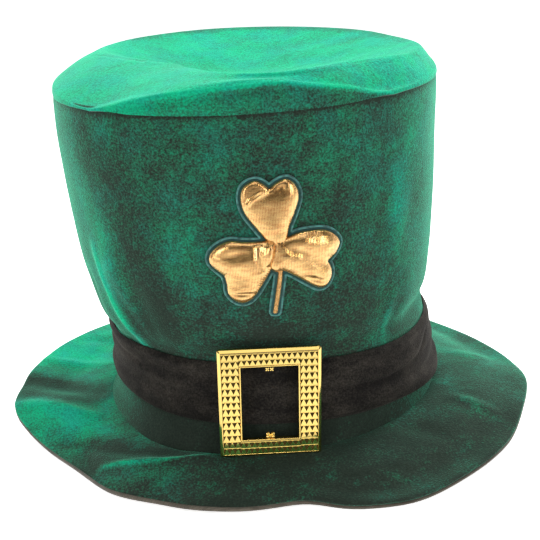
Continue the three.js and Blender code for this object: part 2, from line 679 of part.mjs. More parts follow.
// How far from a spot a ray at an angle last crosses an outline, or 0 where it never does
function farthest(outline, spot, angle) {
  const ray = new THREE.Vector2(Math.cos(angle), Math.sin(angle));
  return outline.reduce((reach, point, index) => {
    const side = outline[(index + 1) % outline.length].clone().sub(point);
    const start = point.clone().sub(spot);
    const share = start.cross(ray) / ray.cross(side);
    return share >= 0 && share <= 1 ? Math.max(reach, start.cross(side) / ray.cross(side)) : reach;
  }, 0);
}

// One outline round several others, which all lie open to a spot
function outerOutline(outlines, spot) {
  const angles = outlines.flat().map((point) => Math.atan2(point.y - spot.y, point.x - spot.x));
  angles.sort((first, second) => first - second);
  const apart = angles.filter((angle, index) => {
    return index === 0 || angle - angles[index - 1] > radians(EDGING_LEAST_TURN);
  });
  return apart.map((angle) => {
    const reach = Math.max(...outlines.map((outline) => farthest(outline, spot, angle)));
    return new THREE.Vector2(spot.x + reach * Math.cos(angle), spot.y + reach * Math.sin(angle));
  });
}

function middleOf(outline) {
  const middle = new THREE.Vector2();
  outline.forEach((point) => middle.addScaledVector(point, 1 / outline.length));
  return middle;
}

function shamrockMiddle() {
  return JOINT_HEIGHT + SHAMROCK_HEIGHT;
}

// A point of the shamrock: across and up on the crown's surface, and how far it stands off it
function onCrown(across, up, lift) {
  const z = shamrockMiddle() + up;
  const turn = THREE.MathUtils.radToDeg((SHAMROCK_SIDEWAYS + across) / crownRadius(0, shamrockMiddle()));
  return place(turn, wallRadius(turn, z) + lift, z);
}

// A closed patch that follows the crown: a flat back at one lift and a front that rises from the
// rim to the middle
function patch(outline, middle, back, thickness, puff, rings) {
  const size = outline.length;
  const points = [];
  const triangles = [];
  const addRing = (share, lift) => {
    outline.forEach((point) => {
      const spot = middle.clone().lerp(point, share);
      points.push(onCrown(spot.x, spot.y, lift));
    });
  };
  for (let ring = 1; ring <= rings; ring += 1) addRing(ring / rings, back);
  for (let ring = rings; ring >= 1; ring -= 1) {
    const share = ring / rings;
    addRing(share, back + thickness + puff * Math.sqrt(1 - share * share));
  }
  for (let ring = 0; ring < 2 * rings - 1; ring += 1) {
    bridge(points, triangles, ring * size, (ring + 1) * size, size, true);
  }
  const under = points.push(onCrown(middle.x, middle.y, back)) - 1;
  const over = points.push(onCrown(middle.x, middle.y, back + thickness + puff)) - 1;
  for (let index = 0; index < size; index += 1) {
    const next = (index + 1) % size;
    triangles.push([under, index, next]);
    triangles.push([over, (2 * rings - 1) * size + next, (2 * rings - 1) * size + index]);
  }
  return closedGeometry(points, triangles);
}

// The spot on the line of the stem from which the leaves and the stem all spread
function shamrockHub() {
  return new THREE.Vector2((STEM.across - STEM.lean * STEM.up) * LEAF_LENGTH, 0);
}

function shamrockEdging() {
  const outlines = [...LEAVES.map(leafOutline), stemOutline()];
  const hub = shamrockHub();
  const outline = outerOutline(outlines.map((each) => grown(each, EDGING_WIDTH)), hub);
  return patch(outline, hub, GAP, EDGING_THICKNESS, 0, EDGING_RINGS);
}

function shamrockPad() {
  const back = EDGING_THICKNESS + 2 * GAP;
  const leaves = LEAVES.map(leafOutline).map((outline) => {
    return patch(outline, middleOf(outline), back, LEAF_RIM, LEAF_PUFF, LEAF_RINGS);
  });
  const stem = patch(stemOutline(), middleOf(stemOutline()), back, STEM_RIM, STEM_PUFF, STEM_RINGS);
  return toGeometry(joined([...leaves, stem].map(toSolid)));
}

function material(color, roughness, metalness) {
  return new THREE.MeshStandardMaterial({ color, roughness, metalness });
}

const velour = material('#12694f', 0.85, 0);
const blackVelour = material('#1d1c1b', 0.9, 0);
const lining = material('#5d584c', 0.95, 0);
const goldPlastic = material('#e3b53a', 0.22, 0.9);
const goldCloth = material('#c8963c', 0.35, 0.8);
const tealThread = material('#2c6b68', 0.7, 0);

const hat = new THREE.Group();

function addPiece(name, geometry, look) {
  const mesh = new THREE.Mesh(geometry, look);
  mesh.name = name;
  hat.add(mesh);
  return mesh;
}

addPiece('crown_side', crownSide(), velour);
addPiece('crown_tip', crownTip(), velour);
addPiece('brim_top', brimTop(), velour);
addPiece('brim_under', brimUnder(), lining);
addPiece('hatband', hatband(), blackVelour);
addPiece('shamrock_edging', shamrockEdging(), tealThread);
addPiece('shamrock_pad', shamrockPad(), goldCloth);

const frontBuckle = addPiece('buckle', buckle(), goldPlastic);
frontBuckle.position.set(BUCKLE_SIDEWAYS, -buckleSeat(), buckleMiddle());
frontBuckle.rotation.y = radians(BUCKLE_TURN);

// The hat's own box is centred over the origin, and the hat stands on the surface
const extent = new THREE.Box3().setFromObject(hat, true);
const middle = extent.getCenter(new THREE.Vector3());
hat.position.set(-middle.x, -middle.y, -extent.min.z);

export default hat;
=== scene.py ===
# Looks of a tall costume hat: green velour with a soft pile, a black velour band, a gold plated
# buckle and a padded shamrock of gold cloth in a stitched edging. Blender lengths are in metres.
# Azimuth 0 is the front of the hat, and 90 degrees is the side at +X.

import math
from collections import namedtuple

import bmesh
import bpy
import numpy as np
from mathutils import Matrix, Vector, geometry, noise
from mathutils.bvhtree import BVHTree


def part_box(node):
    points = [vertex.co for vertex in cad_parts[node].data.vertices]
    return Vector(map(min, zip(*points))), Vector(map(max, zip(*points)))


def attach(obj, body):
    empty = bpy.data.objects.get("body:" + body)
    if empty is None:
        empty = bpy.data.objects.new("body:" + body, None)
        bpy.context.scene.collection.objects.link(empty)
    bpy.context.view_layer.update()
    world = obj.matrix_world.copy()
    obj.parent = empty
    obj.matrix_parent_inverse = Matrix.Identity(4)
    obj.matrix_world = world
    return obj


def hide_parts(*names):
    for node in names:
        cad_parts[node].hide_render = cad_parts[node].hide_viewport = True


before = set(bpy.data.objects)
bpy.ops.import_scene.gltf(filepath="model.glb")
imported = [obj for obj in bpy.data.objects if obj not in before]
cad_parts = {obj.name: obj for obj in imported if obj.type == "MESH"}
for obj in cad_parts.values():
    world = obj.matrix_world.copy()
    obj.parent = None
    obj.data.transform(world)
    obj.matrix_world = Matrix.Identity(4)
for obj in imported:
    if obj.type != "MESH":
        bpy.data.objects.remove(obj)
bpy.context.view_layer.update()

MM = 0.001
TINY = 1e-9


def table(columns, *rows):
    """Rows whose values have the names of the columns"""
    row = namedtuple("row", columns)
    return [row(*values) for values in rows]


# The camera that took the photograph: its place, how far it looks down, its roll and its lens
CAMERA_PLACE = (0.00207, -0.57321, 0.284)
CAMERA_PITCH = 19.6
CAMERA_ROLL = 3.3
SENSOR = 36.0
LENS = 66.13

# The middle of the crown, and the places that other pieces take from the CAD nodes
CROWN_LOW, CROWN_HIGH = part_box("crown_side")
AXIS = (CROWN_LOW + CROWN_HIGH) / 2
CROWN_HEIGHT = CROWN_HIGH.z - CROWN_LOW.z
BAND_LOW, BAND_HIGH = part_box("hatband")
BUCKLE_LOW, BUCKLE_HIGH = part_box("buckle")
SHAMROCK_LOW, SHAMROCK_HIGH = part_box("shamrock_edging")

# Rough distances of the wall and of the shamrock from the crown's middle line, in millimetres
CROWN_REACH = 100
SHAMROCK_REACH = 105

# Smooth copies: how often the quads of a CAD node are halved, and how its corners are met
FINE = 3
COARSE = 2
CORNER_MERGE = 0.02 * MM
FIT_ROUNDS = 4

# Faces look inwards, upwards or downwards where their direction is past these shares
LOOKS_IN, LOOKS_UP, LOOKS_DOWN = -0.3, 0.5, -0.6

# The brushed pile, with painted light and shade in it, is dark at 0 and bright at 1, and goes a little past
# both
NAP_LIMITS = (-0.5, 1.5)

# Noise in the forms, in millimetres, and in the pile: its amount, the sizes of its patches along x,
# y and z in millimetres, and its seed
NOISE = {
    "crown form": (0.5, (28, 28, 40), 3.7),
    "crown patches": (0.18, (20, 20, 34), 1.3),
    "crown specks": (0.12, (7, 7, 8), 5.1),
    "tip form": (0.8, (45, 20, 30), 8.2),
    "tip patches": (0.25, (40, 12, 12), 2.4),
    "tip specks": (0.15, (9, 3, 6), 6.4),
    "brim form": (0.5, (26, 26, 1), 4.4),
    "brim patches": (0.25, (30, 18, 20), 7.7),
    "brim specks": (0.2, (11, 5, 8), 2.9),
    "band waves": (0.7, (55, 1, 6.5), 1.9),
    "band ripples": (0.35, (24, 1, 3.2), 9.3),
    "band patches": (0.4, (40, 1, 9), 3.1),
    "band specks": (0.3, (9, 1, 5), 5.6),
    "padding crinkle": (0.1, (3.2, 6.5, 1), 4.2),
}

# Bumps of the crown. Height and half height are shares of the crown's height, azimuth and half
# width are in degrees, and depth is in millimetres, inwards where it is negative.
CROWN_BUMPS = table(
    "azimuth height half_width half_height lean depth",
    (-47, 0.46, 6, 0.11, -0.5, 1.7),
    (-44, 0.33, 5, 0.07, -0.3, 1.5),
    (-38, 0.42, 5, 0.12, -0.4, -1.4),
    (-57, 0.44, 6, 0.14, -0.4, -1.1),
    (47, 0.66, 6, 0.14, 0.1, 0.9),
    (40, 0.6, 6, 0.16, 0.1, -0.6),
    (52, 0.35, 7, 0.1, 0.4, 0.9),
    (118, 0.4, 9, 0.12, 0.4, -1.5),
    (160, 0.5, 8, 0.18, -0.3, 1.4),
    (-120, 0.42, 8, 0.12, 0.5, 1.5),
    (-150, 0.62, 11, 0.16, 0.2, -1.3),
)

# Folds of the crown just above the band. Each point is an azimuth and a height in millimetres, and
# the column after depth is how much brighter the pile is painted there: a painted highlight on a raised
# fold and painted shade in a sunken one.
CROWN_FOLDS = table(
    "width depth nap line",
    (3.0, 1.5, 1.3,
     [(-58, 124), (-55.4, 104), (-53.7, 94), (-51.5, 85), (-49.5, 78), (-47.7, 73), (-44, 60)]),
    (4.5, -1.3, -0.3, [(-50, 108), (-47, 94), (-44.5, 84), (-42, 74), (-38, 60)]),
    (3.5, -0.9, -0.3, [(-68, 104), (-66.5, 86), (-63, 76), (-57, 66)]),
    (3.0, 0.7, 0.25, [(48, 92), (45, 80), (44, 70), (46, 58)]),
)

# Heights between which the crown's relief comes in over the band and goes out below the tip
RELIEF_STARTS = (BAND_HIGH.z - 4 * MM, BAND_HIGH.z + 10 * MM)
RELIEF_ENDS = (CROWN_HIGH.z - 8 * MM, CROWN_HIGH.z - 1 * MM)

# The crown's pile: its brightness at its foot, how much painted light brightens it towards its top, and
# how much painted shade darkens its seam
CROWN_NAP_FOOT = 0.07
CROWN_PAINTED_LIGHT_RISE = 0.2
SEAM_PAINTED_SHADE = 0.4
SEAM_WIDTH = 1.5 * MM

# The rim of the dish in the crown's top, as azimuths and distances from the crown's middle, and
# the fold along its front, as azimuths and heights in millimetres
DISH_RIM = [
    (-92, 86), (-66, 66), (-40, 56), (-28, 63), (-16, 74), (-8, 85), (0, 95), (7, 99), (18, 96.6),
    (27, 91), (43, 88), (57.5, 93), (74, 100),
]
FRONT_FOLD = [
    (-50, 196), (-46, 197.4), (-41.4, 199.8), (-34.4, 202.8), (-30.7, 204.5), (-18, 208),
    (-6.6, 209.8), (5.8, 211), (11.7, 210.4), (19.2, 207.9), (28.9, 204.7), (36.8, 200.8), (47, 197),
]

# The height of the tip's seam, the sizes of its rim, its front fold and the valleys along them, and
# how far off these valleys lie, in millimetres
TIP_SEAM = 193
RIM_WIDTH, RIM_RISE = 1.2, 1.1
RIM_VALLEY_WIDTH, RIM_VALLEY_DEPTH, RIM_VALLEY_SHIFT = 2.4, 1.0, 3.2
FOLD_WIDTH = 1.1
FOLD_VALLEY_WIDTH, FOLD_VALLEY_DEPTH, FOLD_VALLEY_DROP = 2.0, 0.7, 3.0

# Where parts of the tip begin and end: distances from the crown's middle line, heights in millimetres
# from the ground or over the front fold, and degrees to the left or the back
TIP_REACH = 98 * MM
TIP_OUTER = (80 * MM, 90 * MM)
TIP_WALL = (92 * MM, 101 * MM)
TIP_TOP_ENDS = (95 * MM, 101 * MM)
TIP_ABOVE_SEAM = (TIP_SEAM + 1.5, TIP_SEAM + 5)
TIP_OVER_FOLD = (-1.5, 1.0)
TIP_LEFT = (-5, 24)
TIP_BACK = (80, 125)

# The tip's edge at the right: its azimuths, heights and distances, and how often it is evened
EDGE_STARTS = (55, 70)
EDGE_ENDS = (115, 130)
EDGE_HEIGHTS = (TIP_SEAM + 6, TIP_SEAM + 11)
EDGE_REACHES = (80, 92)
EDGE_EVENING = 40

# The tip's pile: everywhere, brighter as painted light on top, brighter at the left, brighter as painted
# highlights on the fold and the rim, darker at the back, and darker as painted shade in the valley behind
# the rim
TIP_NAP = 0.35
TIP_PAINTED_TOP_LIGHT = 0.6
TIP_LEFT_BRIGHTENING = 0.55
TIP_PAINTED_CREST_HIGHLIGHT = 0.6
TIP_BACK_DARKENING = 0.5
TIP_PAINTED_VALLEY_SHADE = 0.5

# A raised fold over the left of the brim and the valley beside it, in form and in painted highlight
# and shade
FOLD_LINE = [(-80.5, 158), (-78.5, 140), (-75, 127), (-70, 117), (-64, 106)]
VALLEY_LINE = [(-72, 148), (-62, 132), (-53, 122), (-44, 117), (-33, 112), (-22, 106)]

# Ridges that run over the brim. Each point is an azimuth and a distance from the crown's middle,
# and width and depth are in millimetres.
BRIM_RIDGES = table(
    "width depth line",
    (1.9, 1.2, [(-44.7, 131), (-39.7, 125), (-35, 119), (-29.5, 114.3), (-23.9, 110.5), (-15, 104.5)]),
    (4.5, 2.0, FOLD_LINE),
    (9, -2.0, [(-88, 160), (-91, 143), (-88.5, 128), (-84, 114), (-78, 98)]),
    (4, 1.2, [(-103.5, 150), (-105, 132), (-106.5, 118), (-104, 102)]),
    (4.5, -1.0, VALLEY_LINE),
    (3.5, 0.9, [(68, 118), (67, 136), (65.5, 150)]),
    (6, 1.0, [(100, 120), (98, 134), (96, 148)]),
    (7, -0.8, [(44, 106), (48, 122), (50, 138)]),
    (5, 0.9, [(150, 108), (146, 122), (147, 136)]),
    (6, 1.0, [(-140, 106), (-137, 122), (-140, 138)]),
    (5, -0.9, [(-118, 108), (-121, 126), (-117, 144)]),
)

# How brightly the brim's pile is painted along some lines, with points and widths as above: partly
# brushed streaks, and partly painted sheen on its ridges and front crease and painted shadow in its valleys
BRIM_NAP_AND_PAINTED_LIGHT = table(
    "width nap line",
    (15, 0.35, [(-130, 138), (-118, 134), (-106, 126)]),
    (10, 1.0, [(-106, 152), (-108, 134), (-109, 120), (-106, 102)]),
    (15, -1.1, [(-86, 164), (-89, 143), (-87, 128), (-82, 114), (-76, 94)]),
    (3, 0.4, FOLD_LINE),
    (8, 0.6, [(-82, 148), (-74, 134), (-66, 121), (-59, 111), (-48, 103), (-32, 101)]),
    (5, -0.15, VALLEY_LINE),
    (1.5, 0.9, [(-45, 132), (-40, 126), (-35.3, 121), (-29.4, 114.7), (-21.8, 107.8), (-13, 102)]),
    (9, 0.4, [(-44, 136), (-34, 130), (-22, 124), (-8, 120)]),
    (9, 0.35, [(104, 108), (101, 120), (97, 140)]),
    (5, 0.25, [(76, 112), (68, 130), (62, 146)]),
    (6, -0.2, [(50, 106), (42, 112), (24, 108), (12, 104)]),
)

# Heights between which the brim's relief comes in, so that the hat still rests on its lowest places
BRIM_LIFTS = (1.5 * MM, 7 * MM)

# The brim's pile: everywhere, low enough to leave painted shade in front, and how much painted light
# brightens it at the left, less of it at the back, and at the right, between degrees to the left or the
# right
BRIM_NAP_AND_SHADE_BASE = -0.1
BRIM_PAINTED_LIGHT_LEFT, BRIM_LEFT = 0.75, (45, 70)
BRIM_PAINTED_LIGHT_FALLOFF, BRIM_BACK = 0.6, (130, 178)
BRIM_PAINTED_LIGHT_RIGHT, BRIM_RIGHT = 0.3, (60, 100)

# Creases along the band. Each point is an azimuth and a share of the band's height there, which is
# itself a share of the height of the whole slanting band.
BAND_CREASES = table(
    "width depth line",
    (1.0, -1.0, [(14, 0.5), (30, 0.49), (42, 0.47), (53, 0.52), (62, 0.62), (72, 0.82), (80, 0.95)]),
    (1.3, 0.7, [(16, 0.56), (30, 0.55), (42, 0.53), (52, 0.59), (61, 0.7), (70, 0.9)]),
    (1.2, -0.6, [(-75, 0.74), (-62, 0.72), (-48, 0.7), (-34, 0.62), (-22, 0.6)]),
    (1.4, -0.45, [(-70, 0.36), (-54, 0.4), (-40, 0.34), (-26, 0.3)]),
    (1.1, -0.4, [(-40, 0.86), (-28, 0.84), (-19, 0.88)]),
    (1.5, -0.7, [(92, 0.6), (115, 0.5), (140, 0.56), (165, 0.4)]),
    (1.4, -0.7, [(-100, 0.45), (-125, 0.55), (-150, 0.5), (-172, 0.62)]),
)
BAND_UPRIGHT = 0.72

# The azimuths at which the band's edges are measured are this far apart. Its relief comes in and
# goes out between shares of its height, and its pile is this bright.
BAND_STEP = 4
BAND_FOOT = (0.0, 0.12)
BAND_HEAD = (0.9, 1.0)
BAND_NAP = 0.3

# Where the pile of the crown is painted bright or, below zero, dark, with places as for its bumps: partly
# brushed patches, and partly painted highlights on its folds, painted shade in its hollows and painted
# shade low down below the band and the buckle
CROWN_NAP_AND_PAINTED_LIGHT = table(
    "azimuth height half_width half_height lean nap",
    (-50, 0.5, 9, 0.2, -0.4, 0.5),
    (-34, 0.45, 9, 0.18, -0.3, -0.4),
    (-66, 0.45, 20, 0.4, 0.0, 0.14),
    (-20, 0.6, 12, 0.2, 0.2, 0.14),
    (-44, 0.84, 14, 0.1, 0.0, -0.05),
    (47, 0.68, 5, 0.13, 0.0, 0.5),
    (44, 0.4, 8, 0.14, 0.5, 0.15),
    (62, 0.9, 22, 0.2, 0.0, 0.12),
    (30, 0.5, 9, 0.2, 0.0, -0.15),
    (2, 0.08, 20, 0.09, 0.0, -0.6),
    (-36, 0.05, 20, 0.1, 0.0, -0.4),
    (36, 0.05, 16, 0.08, 0.0, -0.25),
    (10, 0.4, 26, 0.14, 0.0, -0.12),
)

# The gold leaves and the stem on the crown: points across and up from the shamrock's middle, in
# millimetres, which of them are sharp corners, and how far a leaf lies over the others
*LEAVES, STEM = table(
    "name lift corners points",
    ("top", 0, [7], [
        (-2.5, 1), (-10, 10.5), (-14.5, 18), (-15.8, 25.5), (-14, 31), (-9.2, 33.7), (-5.3, 32.5),
        (-2, 29.3), (1.5, 32), (5.9, 33.5), (9.4, 31.6), (11.6, 27.5), (11.8, 22.5), (9.7, 15.8),
        (7, 9.3), (4.5, 1),
    ]),
    ("left", 0, [8], [
        (0, 3), (-8, 2.6), (-16, 2.9), (-22.5, 3.6), (-28.7, 1), (-32.7, -3.3), (-33.2, -7.6),
        (-30.8, -11), (-26.6, -14.8), (-25.7, -19), (-25.2, -25), (-21, -29.5), (-16, -29.9),
        (-11.2, -26), (-6, -18), (-2.4, -11.5), (0.4, -4),
    ]),
    ("right", 0.25, [8], [
        (-0.6, 3.4), (5, 3.6), (11.4, 5.5), (18.6, 5.8), (25.6, 4.7), (30.6, 1.2), (32.7, -3.2),
        (30, -8.5), (26, -11.6), (27.9, -15.8), (27.8, -20.8), (25, -25), (20.8, -25.4), (15, -21.7),
        (9, -17.4), (3, -13.9), (-1, -14.1), (-3.8, -10.3), (-2.6, -3),
    ]),
    ("stem", 0, [0, 3, 4, 7], [
        (0.6, -12.5), (0, -19), (-1.5, -26), (-3.3, -37), (-0.4, -37.2), (1.2, -26), (2.4, -19),
        (3, -12.5),
    ]),
)
SHAMROCK_HUB = (0.5, -5)

# Dents of the padding: across, up, half widths and depth, in millimetres, and the turn of the
# first half width in degrees
PADDING_DENTS = table(
    "leaf across up half_long half_short turn depth",
    ("top", -2.5, 20, 5.5, 9, 0, -1.2),
    ("top", -9.6, 28, 4.5, 4, 38, -0.9),
    ("top", 3.4, 29, 2.4, 4.5, 18, -1.0),
    ("left", -19, -3.5, 8, 3, 6, -1.3),
    ("left", -18, -16, 5, 6, -15, -1.1),
    ("left", -18, -24.5, 6, 1.2, -4, -0.8),
    ("right", 9, -3, 6, 3, -14, -1.2),
    ("right", 18, -9, 7, 5, -20, -1.2),
    ("right", 19, -20, 5, 1.6, -24, -0.8),
)

# Narrow folds of the padding, as lines of points across and up
PADDING_FOLDS = table(
    "leaf width depth line",
    ("top", 0.9, 0.9, [(-13.4, 21), (-10.6, 24.6), (-6.5, 27.2), (-2, 28)]),
    ("left", 1.8, -1.3, [(-8.6, 3), (-8.8, -5), (-7.6, -13)]),
    ("left", 2.3, 2.0, [(-2.6, 4), (-3.2, -4), (-3, -10)]),
)

# The padded leaves, in millimetres
PAD_SPACING = 0.55
PAD_PUFF = 4.8
PAD_SHOULDER = 9.5
PAD_LIFT = 1.25
PAD_RIM = 0.45
PUCKER_PITCH = 1.25
PUCKER_REACH = 2.2
PUCKER_DEPTH = 0.16
PUCKER_STARTS = (0, 0.5)
PAD_WITHIN = (0.3, 3.0)
SOFT_CORNER = 60

# Simulation of the padding: its cloth is stitched down at the rim and swells from behind. It is
# PADDING_SCALE times as large as the real one, and its heights are evened in some rounds, raised by
# the gain and capped. The swell share of the leaves' heights comes from it.
PADDING_SCALE = 25
PADDING_FRAMES = 20
PADDING_EVENING = 14
PADDING_CLOTH = {
    "quality": 6, "mass": 0.2, "tension_stiffness": 12, "compression_stiffness": 12,
    "bending_stiffness": 0.4, "use_pressure": True, "uniform_pressure_force": 3.0, "shrink_min": -0.06,
}
SWELL_SHARE = 0.4
SWELL_GAIN = 1.2

# Flat fillings: the distance of their rows and their clearance from the rim, as shares of a spacing
ROW_SHARE = 0.87
RIM_SHARE = 0.6

# The backing of the shamrock and its satin stitches, in millimetres
BACKING_REACH = 2.0
BACKING_LIFT = 0.3
BACKING_TOP = 1.15
BACKING_SPACING = 1.6
OUTLINE_STEP = 0.5
RAY_STEP = 0.25
STITCH_LINE = 1.5
STITCH_PITCH = 0.4
STITCH_SLANT = 0.25
STEM_PITCH = 0.5
STEM_LINE = [(1.9, -12.5), (1.1, -19), (-0.2, -27), (-1.9, -37)]
EDGE_STITCH, STEM_STITCH = table(
    "length thickness lift arch",
    (1.0, 0.42, 1.15, 0.35),
    (2.5, 0.6, 1.3, 1.1),
)

# The buckle, in millimetres and degrees
BUCKLE_TURN = 1.4
BUCKLE_TWIST = 0.7
BUCKLE_YAW = 3.0
BUCKLE_STRETCH = 1.035
BUCKLE_BAR_SIDE = 12.2
BUCKLE_BAR_END = 10.2
BUCKLE_PLATE = 1.9
BUCKLE_RIM = 2.0
WINDOW_RIM = 1.2
BUCKLE_PITCH_ACROSS = 2.9
BUCKLE_PITCH_UP = 3.8
STUD_SINK = 0.1
STUD_HEIGHT = 0.85
STUD_HOLLOW = 1.1
STUD_LEAN = 0.05
STUD_FOOT = 0.35
STUD_LEDGE = 0.2
BUCKLE_CORNER = 1.3
INNER_CORNER = 0.3
WINDOW_CORNER = 0.35
CORNER_STEPS = 5
HARD_CORNER = 38

# The outer rim from the buckle's back to its plate and the window's rim from there to the back:
# how far each ring is inside the buckle's edge or outside the window, and in front of the back
OUTER_RIM = [
    (0, 0), (0, 1.2), (0.04, 1.45), (0.14, 1.65), (0.24, 1.75), (1.3, 2.7), (1.42, 2.8), (1.6, 2.88),
    (1.8, 2.88), (1.95, 2.7), (BUCKLE_RIM, BUCKLE_PLATE),
]
INNER_RIM = [
    (WINDOW_RIM, BUCKLE_PLATE), (1.1, 2.5), (0.9, 2.8), (0.6, 2.87), (0.3, 2.75), (0.08, 2.4), (0, 2.0),
    (0, 0),
]

# The two crosses below the window's top edge, and the tab with its knobs above the lower edge:
# sizes are width and height, and depths are those of the back and the front
CROSS_ACROSS = 1.15
CROSS_DROP = 1.5
CROSS_SIZE = (2.7, 0.75)
CROSS_DEPTHS = (0.9, 2.0)
TAB_RISE = 1.0
TAB_SIZE = (5.2, 2.4)
TAB_DEPTHS = (0.4, 1.2)
BLOCK_TAPER = 0.82
KNOB_FOOT = 1.1
KNOBS = table(
    "across up radius front",
    (-1.35, 0.9, 1.1, 2.3),
    (-1.35, 2.5, 1.1, 2.3),
    (1.35, 0.9, 1.1, 2.3),
    (1.35, 2.5, 1.1, 2.3),
    (0, 1.7, 0.8, 2.1),
)

# The studio: lights that look at the hat, in metres and watts
LIGHTS = table(
    "name place target size power",
    ("light_left", (-0.85, 0.75, 0.5), (-0.05, 0, 0.1), (0.4, 0.8), 8.5),
    ("light_right", (0.85, 0.75, 0.55), (0.05, 0, 0.18), (0.3, 0.8), 7),
    ("light_above", (0.1, 0.1, 0.85), (0, 0, 0.2), (0.5, 0.5), 5.4),
    ("light_front_strip", (0, -0.75, 0.95), (0, -0.1, 0.1), (1.2, 0.6), 3.2),
    ("light_near_left", (-0.66, -0.8, 0.24), (0, 0, 0.12), (0.2, 0.5), 2.1),
    ("light_near_right", (0.7, -0.78, 0.26), (0, 0, 0.12), (0.2, 0.5), 2.3),
)

# The floor, grey in front of the hat and white and glowing from there on, and the air round it
FLOOR_REACH = 20
FLOOR_DROP = 0.2 * MM
FLOOR_FRONT, FLOOR_BACK = -0.37, -0.17
FLOOR_GREY = (0.55, 0.55, 0.55, 1)
FLOOR_WHITE = (0.9, 0.9, 0.9, 1)
FLOOR_GLOW = 0.75
WHITE = (1, 1, 1, 1)
AIR_LEAN = -0.6
AIR_FRONT, AIR_BACK = -0.4, 0.05
AIR_IN_FRONT = 0.07
AIR_BEHIND = 1.05

# Colours, as the photograph shows them
VELOUR_DARK = "#343f36"
VELOUR_BRIGHT = "#0c9c71"
VELOUR_TEAL = "#119278"
VELOUR_SHEEN = "#7dffd2"
BLACK_DARK = "#1c1a18"
BLACK_LIGHT = "#3c3832"
BLACK_SHEEN = "#9a9088"
LINING_DARK = "#3a352c"
LINING_LIGHT = "#6b6357"
INSIDE_DARK = "#26241f"
INSIDE_LIGHT = "#3d3a33"
BACKING_TEAL = "#27504e"
THREAD_TEAL = "#5aa8a0"
PLATED_GOLD = "#e2c270"
CLOTH_GOLD = "#f0c172"
# Painted shade between the threads of the gold cloth
CLOTH_PAINTED_SHADE = "#b8711c"


def linear(colour):
    """The linear colour of a six-digit sRGB colour"""
    parts = [int(colour[start:start + 2], 16) / 255 for start in (1, 3, 5)]
    return tuple(((part + 0.055) / 1.055) ** 2.4 if part > 0.04 else part / 12.92 for part in parts) + (1.0,)


# Meshes as arrays of points

def vectors_of(rows, key):
    values = np.empty(len(rows) * 3, np.float32)
    rows.foreach_get(key, values)
    return values.reshape(-1, 3).astype(float)


def points_of(mesh):
    return vectors_of(mesh.vertices, "co")


def normals_of(mesh):
    return vectors_of(mesh.vertex_normals, "vector")


def set_points(mesh, points):
    mesh.vertices.foreach_set("co", np.asarray(points, np.float32).ravel())
    mesh.update()


def add_object(name, data):
    made = bpy.data.objects.new(name, data)
    bpy.context.scene.collection.objects.link(made)
    return made


def add_piece(name, points, faces, *materials):
    mesh = bpy.data.meshes.new(name)
    mesh.from_pydata([tuple(point) for point in points], [], faces)
    mesh.update()
    for material in materials:
        mesh.materials.append(material)
    return add_object(name, mesh)


def evaluated(piece):
    """The piece as its modifiers leave it"""
    return piece.evaluated_get(bpy.context.evaluated_depsgraph_get())


def dress(piece, slot, *nodes):
    """The piece rides on the hat's one body and stands for CAD nodes"""
    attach(piece, "root")
    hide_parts(*nodes)


# Smooth copies of the CAD nodes

def quads_of(node):
    """Points and faces of a CAD node, with its pairs of triangles joined into quads again"""
    shape = bmesh.new()
    shape.from_mesh(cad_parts[node].data)
    bmesh.ops.remove_doubles(shape, verts=shape.verts, dist=CORNER_MERGE)
    bmesh.ops.join_triangles(
        shape, faces=shape.faces, angle_face_threshold=math.pi, angle_shape_threshold=math.pi)
    points = [vertex.co.copy() for vertex in shape.verts]
    faces = [[vertex.index for vertex in face.verts] for face in shape.faces]
    shape.free()
    return points, faces


def smooth_copy(node, levels, *materials):
    """A subdivision surface whose cage is moved until the surface goes through the node's corners"""
    piece = add_piece(node + "_cloth", *quads_of(node), *materials)
    halved = piece.modifiers.new("smooth", "SUBSURF")
    halved.levels = levels
    corners = points_of(piece.data)
    cage = corners.copy()
    for _ in range(FIT_ROUNDS):
        cage += corners - points_of(evaluated(piece).data)[:len(corners)]
        set_points(piece.data, cage)
        bpy.context.view_layer.update()
    fine = bpy.data.meshes.new_from_object(evaluated(piece))
    piece.modifiers.clear()
    piece.data = fine
    fine.shade_smooth()
    return piece


# Places round the hat

def azimuths(points):
    """Degrees round the hat from its front, positive towards +X"""
    return np.degrees(np.arctan2(points[:, 0] - AXIS.x, AXIS.y - points[:, 1]))


def reaches(points):
    """Distances from the crown's middle line"""
    return np.hypot(points[:, 0] - AXIS.x, points[:, 1] - AXIS.y)


def outwards(points):
    """Level directions away from the crown's middle line"""
    away = points[:, :2] - np.array([AXIS.x, AXIS.y])
    away /= np.linalg.norm(away, axis=1)[:, None]
    return np.column_stack([away, np.zeros(len(points))])


def soft_spot(points, row):
    """A share from 0 to 1 of a soft spot at one azimuth and height of the crown"""
    across = ((azimuths(points) - row.azimuth + 180) % 360 - 180) / row.half_width
    up = ((points[:, 2] - CROWN_LOW.z) / CROWN_HEIGHT - row.height) / row.half_height
    across = across - row.lean * up
    return np.exp(-across * across - up * up)


def unrolled(points):
    """Places on the crown's wall as distances round it and heights, in millimetres"""
    return np.column_stack([np.radians(azimuths(points)) * CROWN_REACH, points[:, 2] / MM])


def on_wall(line):
    """The same for a line of azimuths and heights"""
    return [(math.radians(azimuth) * CROWN_REACH, height) for azimuth, height in line]


def on_plan(line):
    """Level places in millimetres of azimuths and distances from the crown's middle"""
    places = []
    for azimuth, reach in line:
        turn = math.radians(azimuth)
        places.append((AXIS.x / MM + reach * math.sin(turn), AXIS.y / MM - reach * math.cos(turn)))
    return places


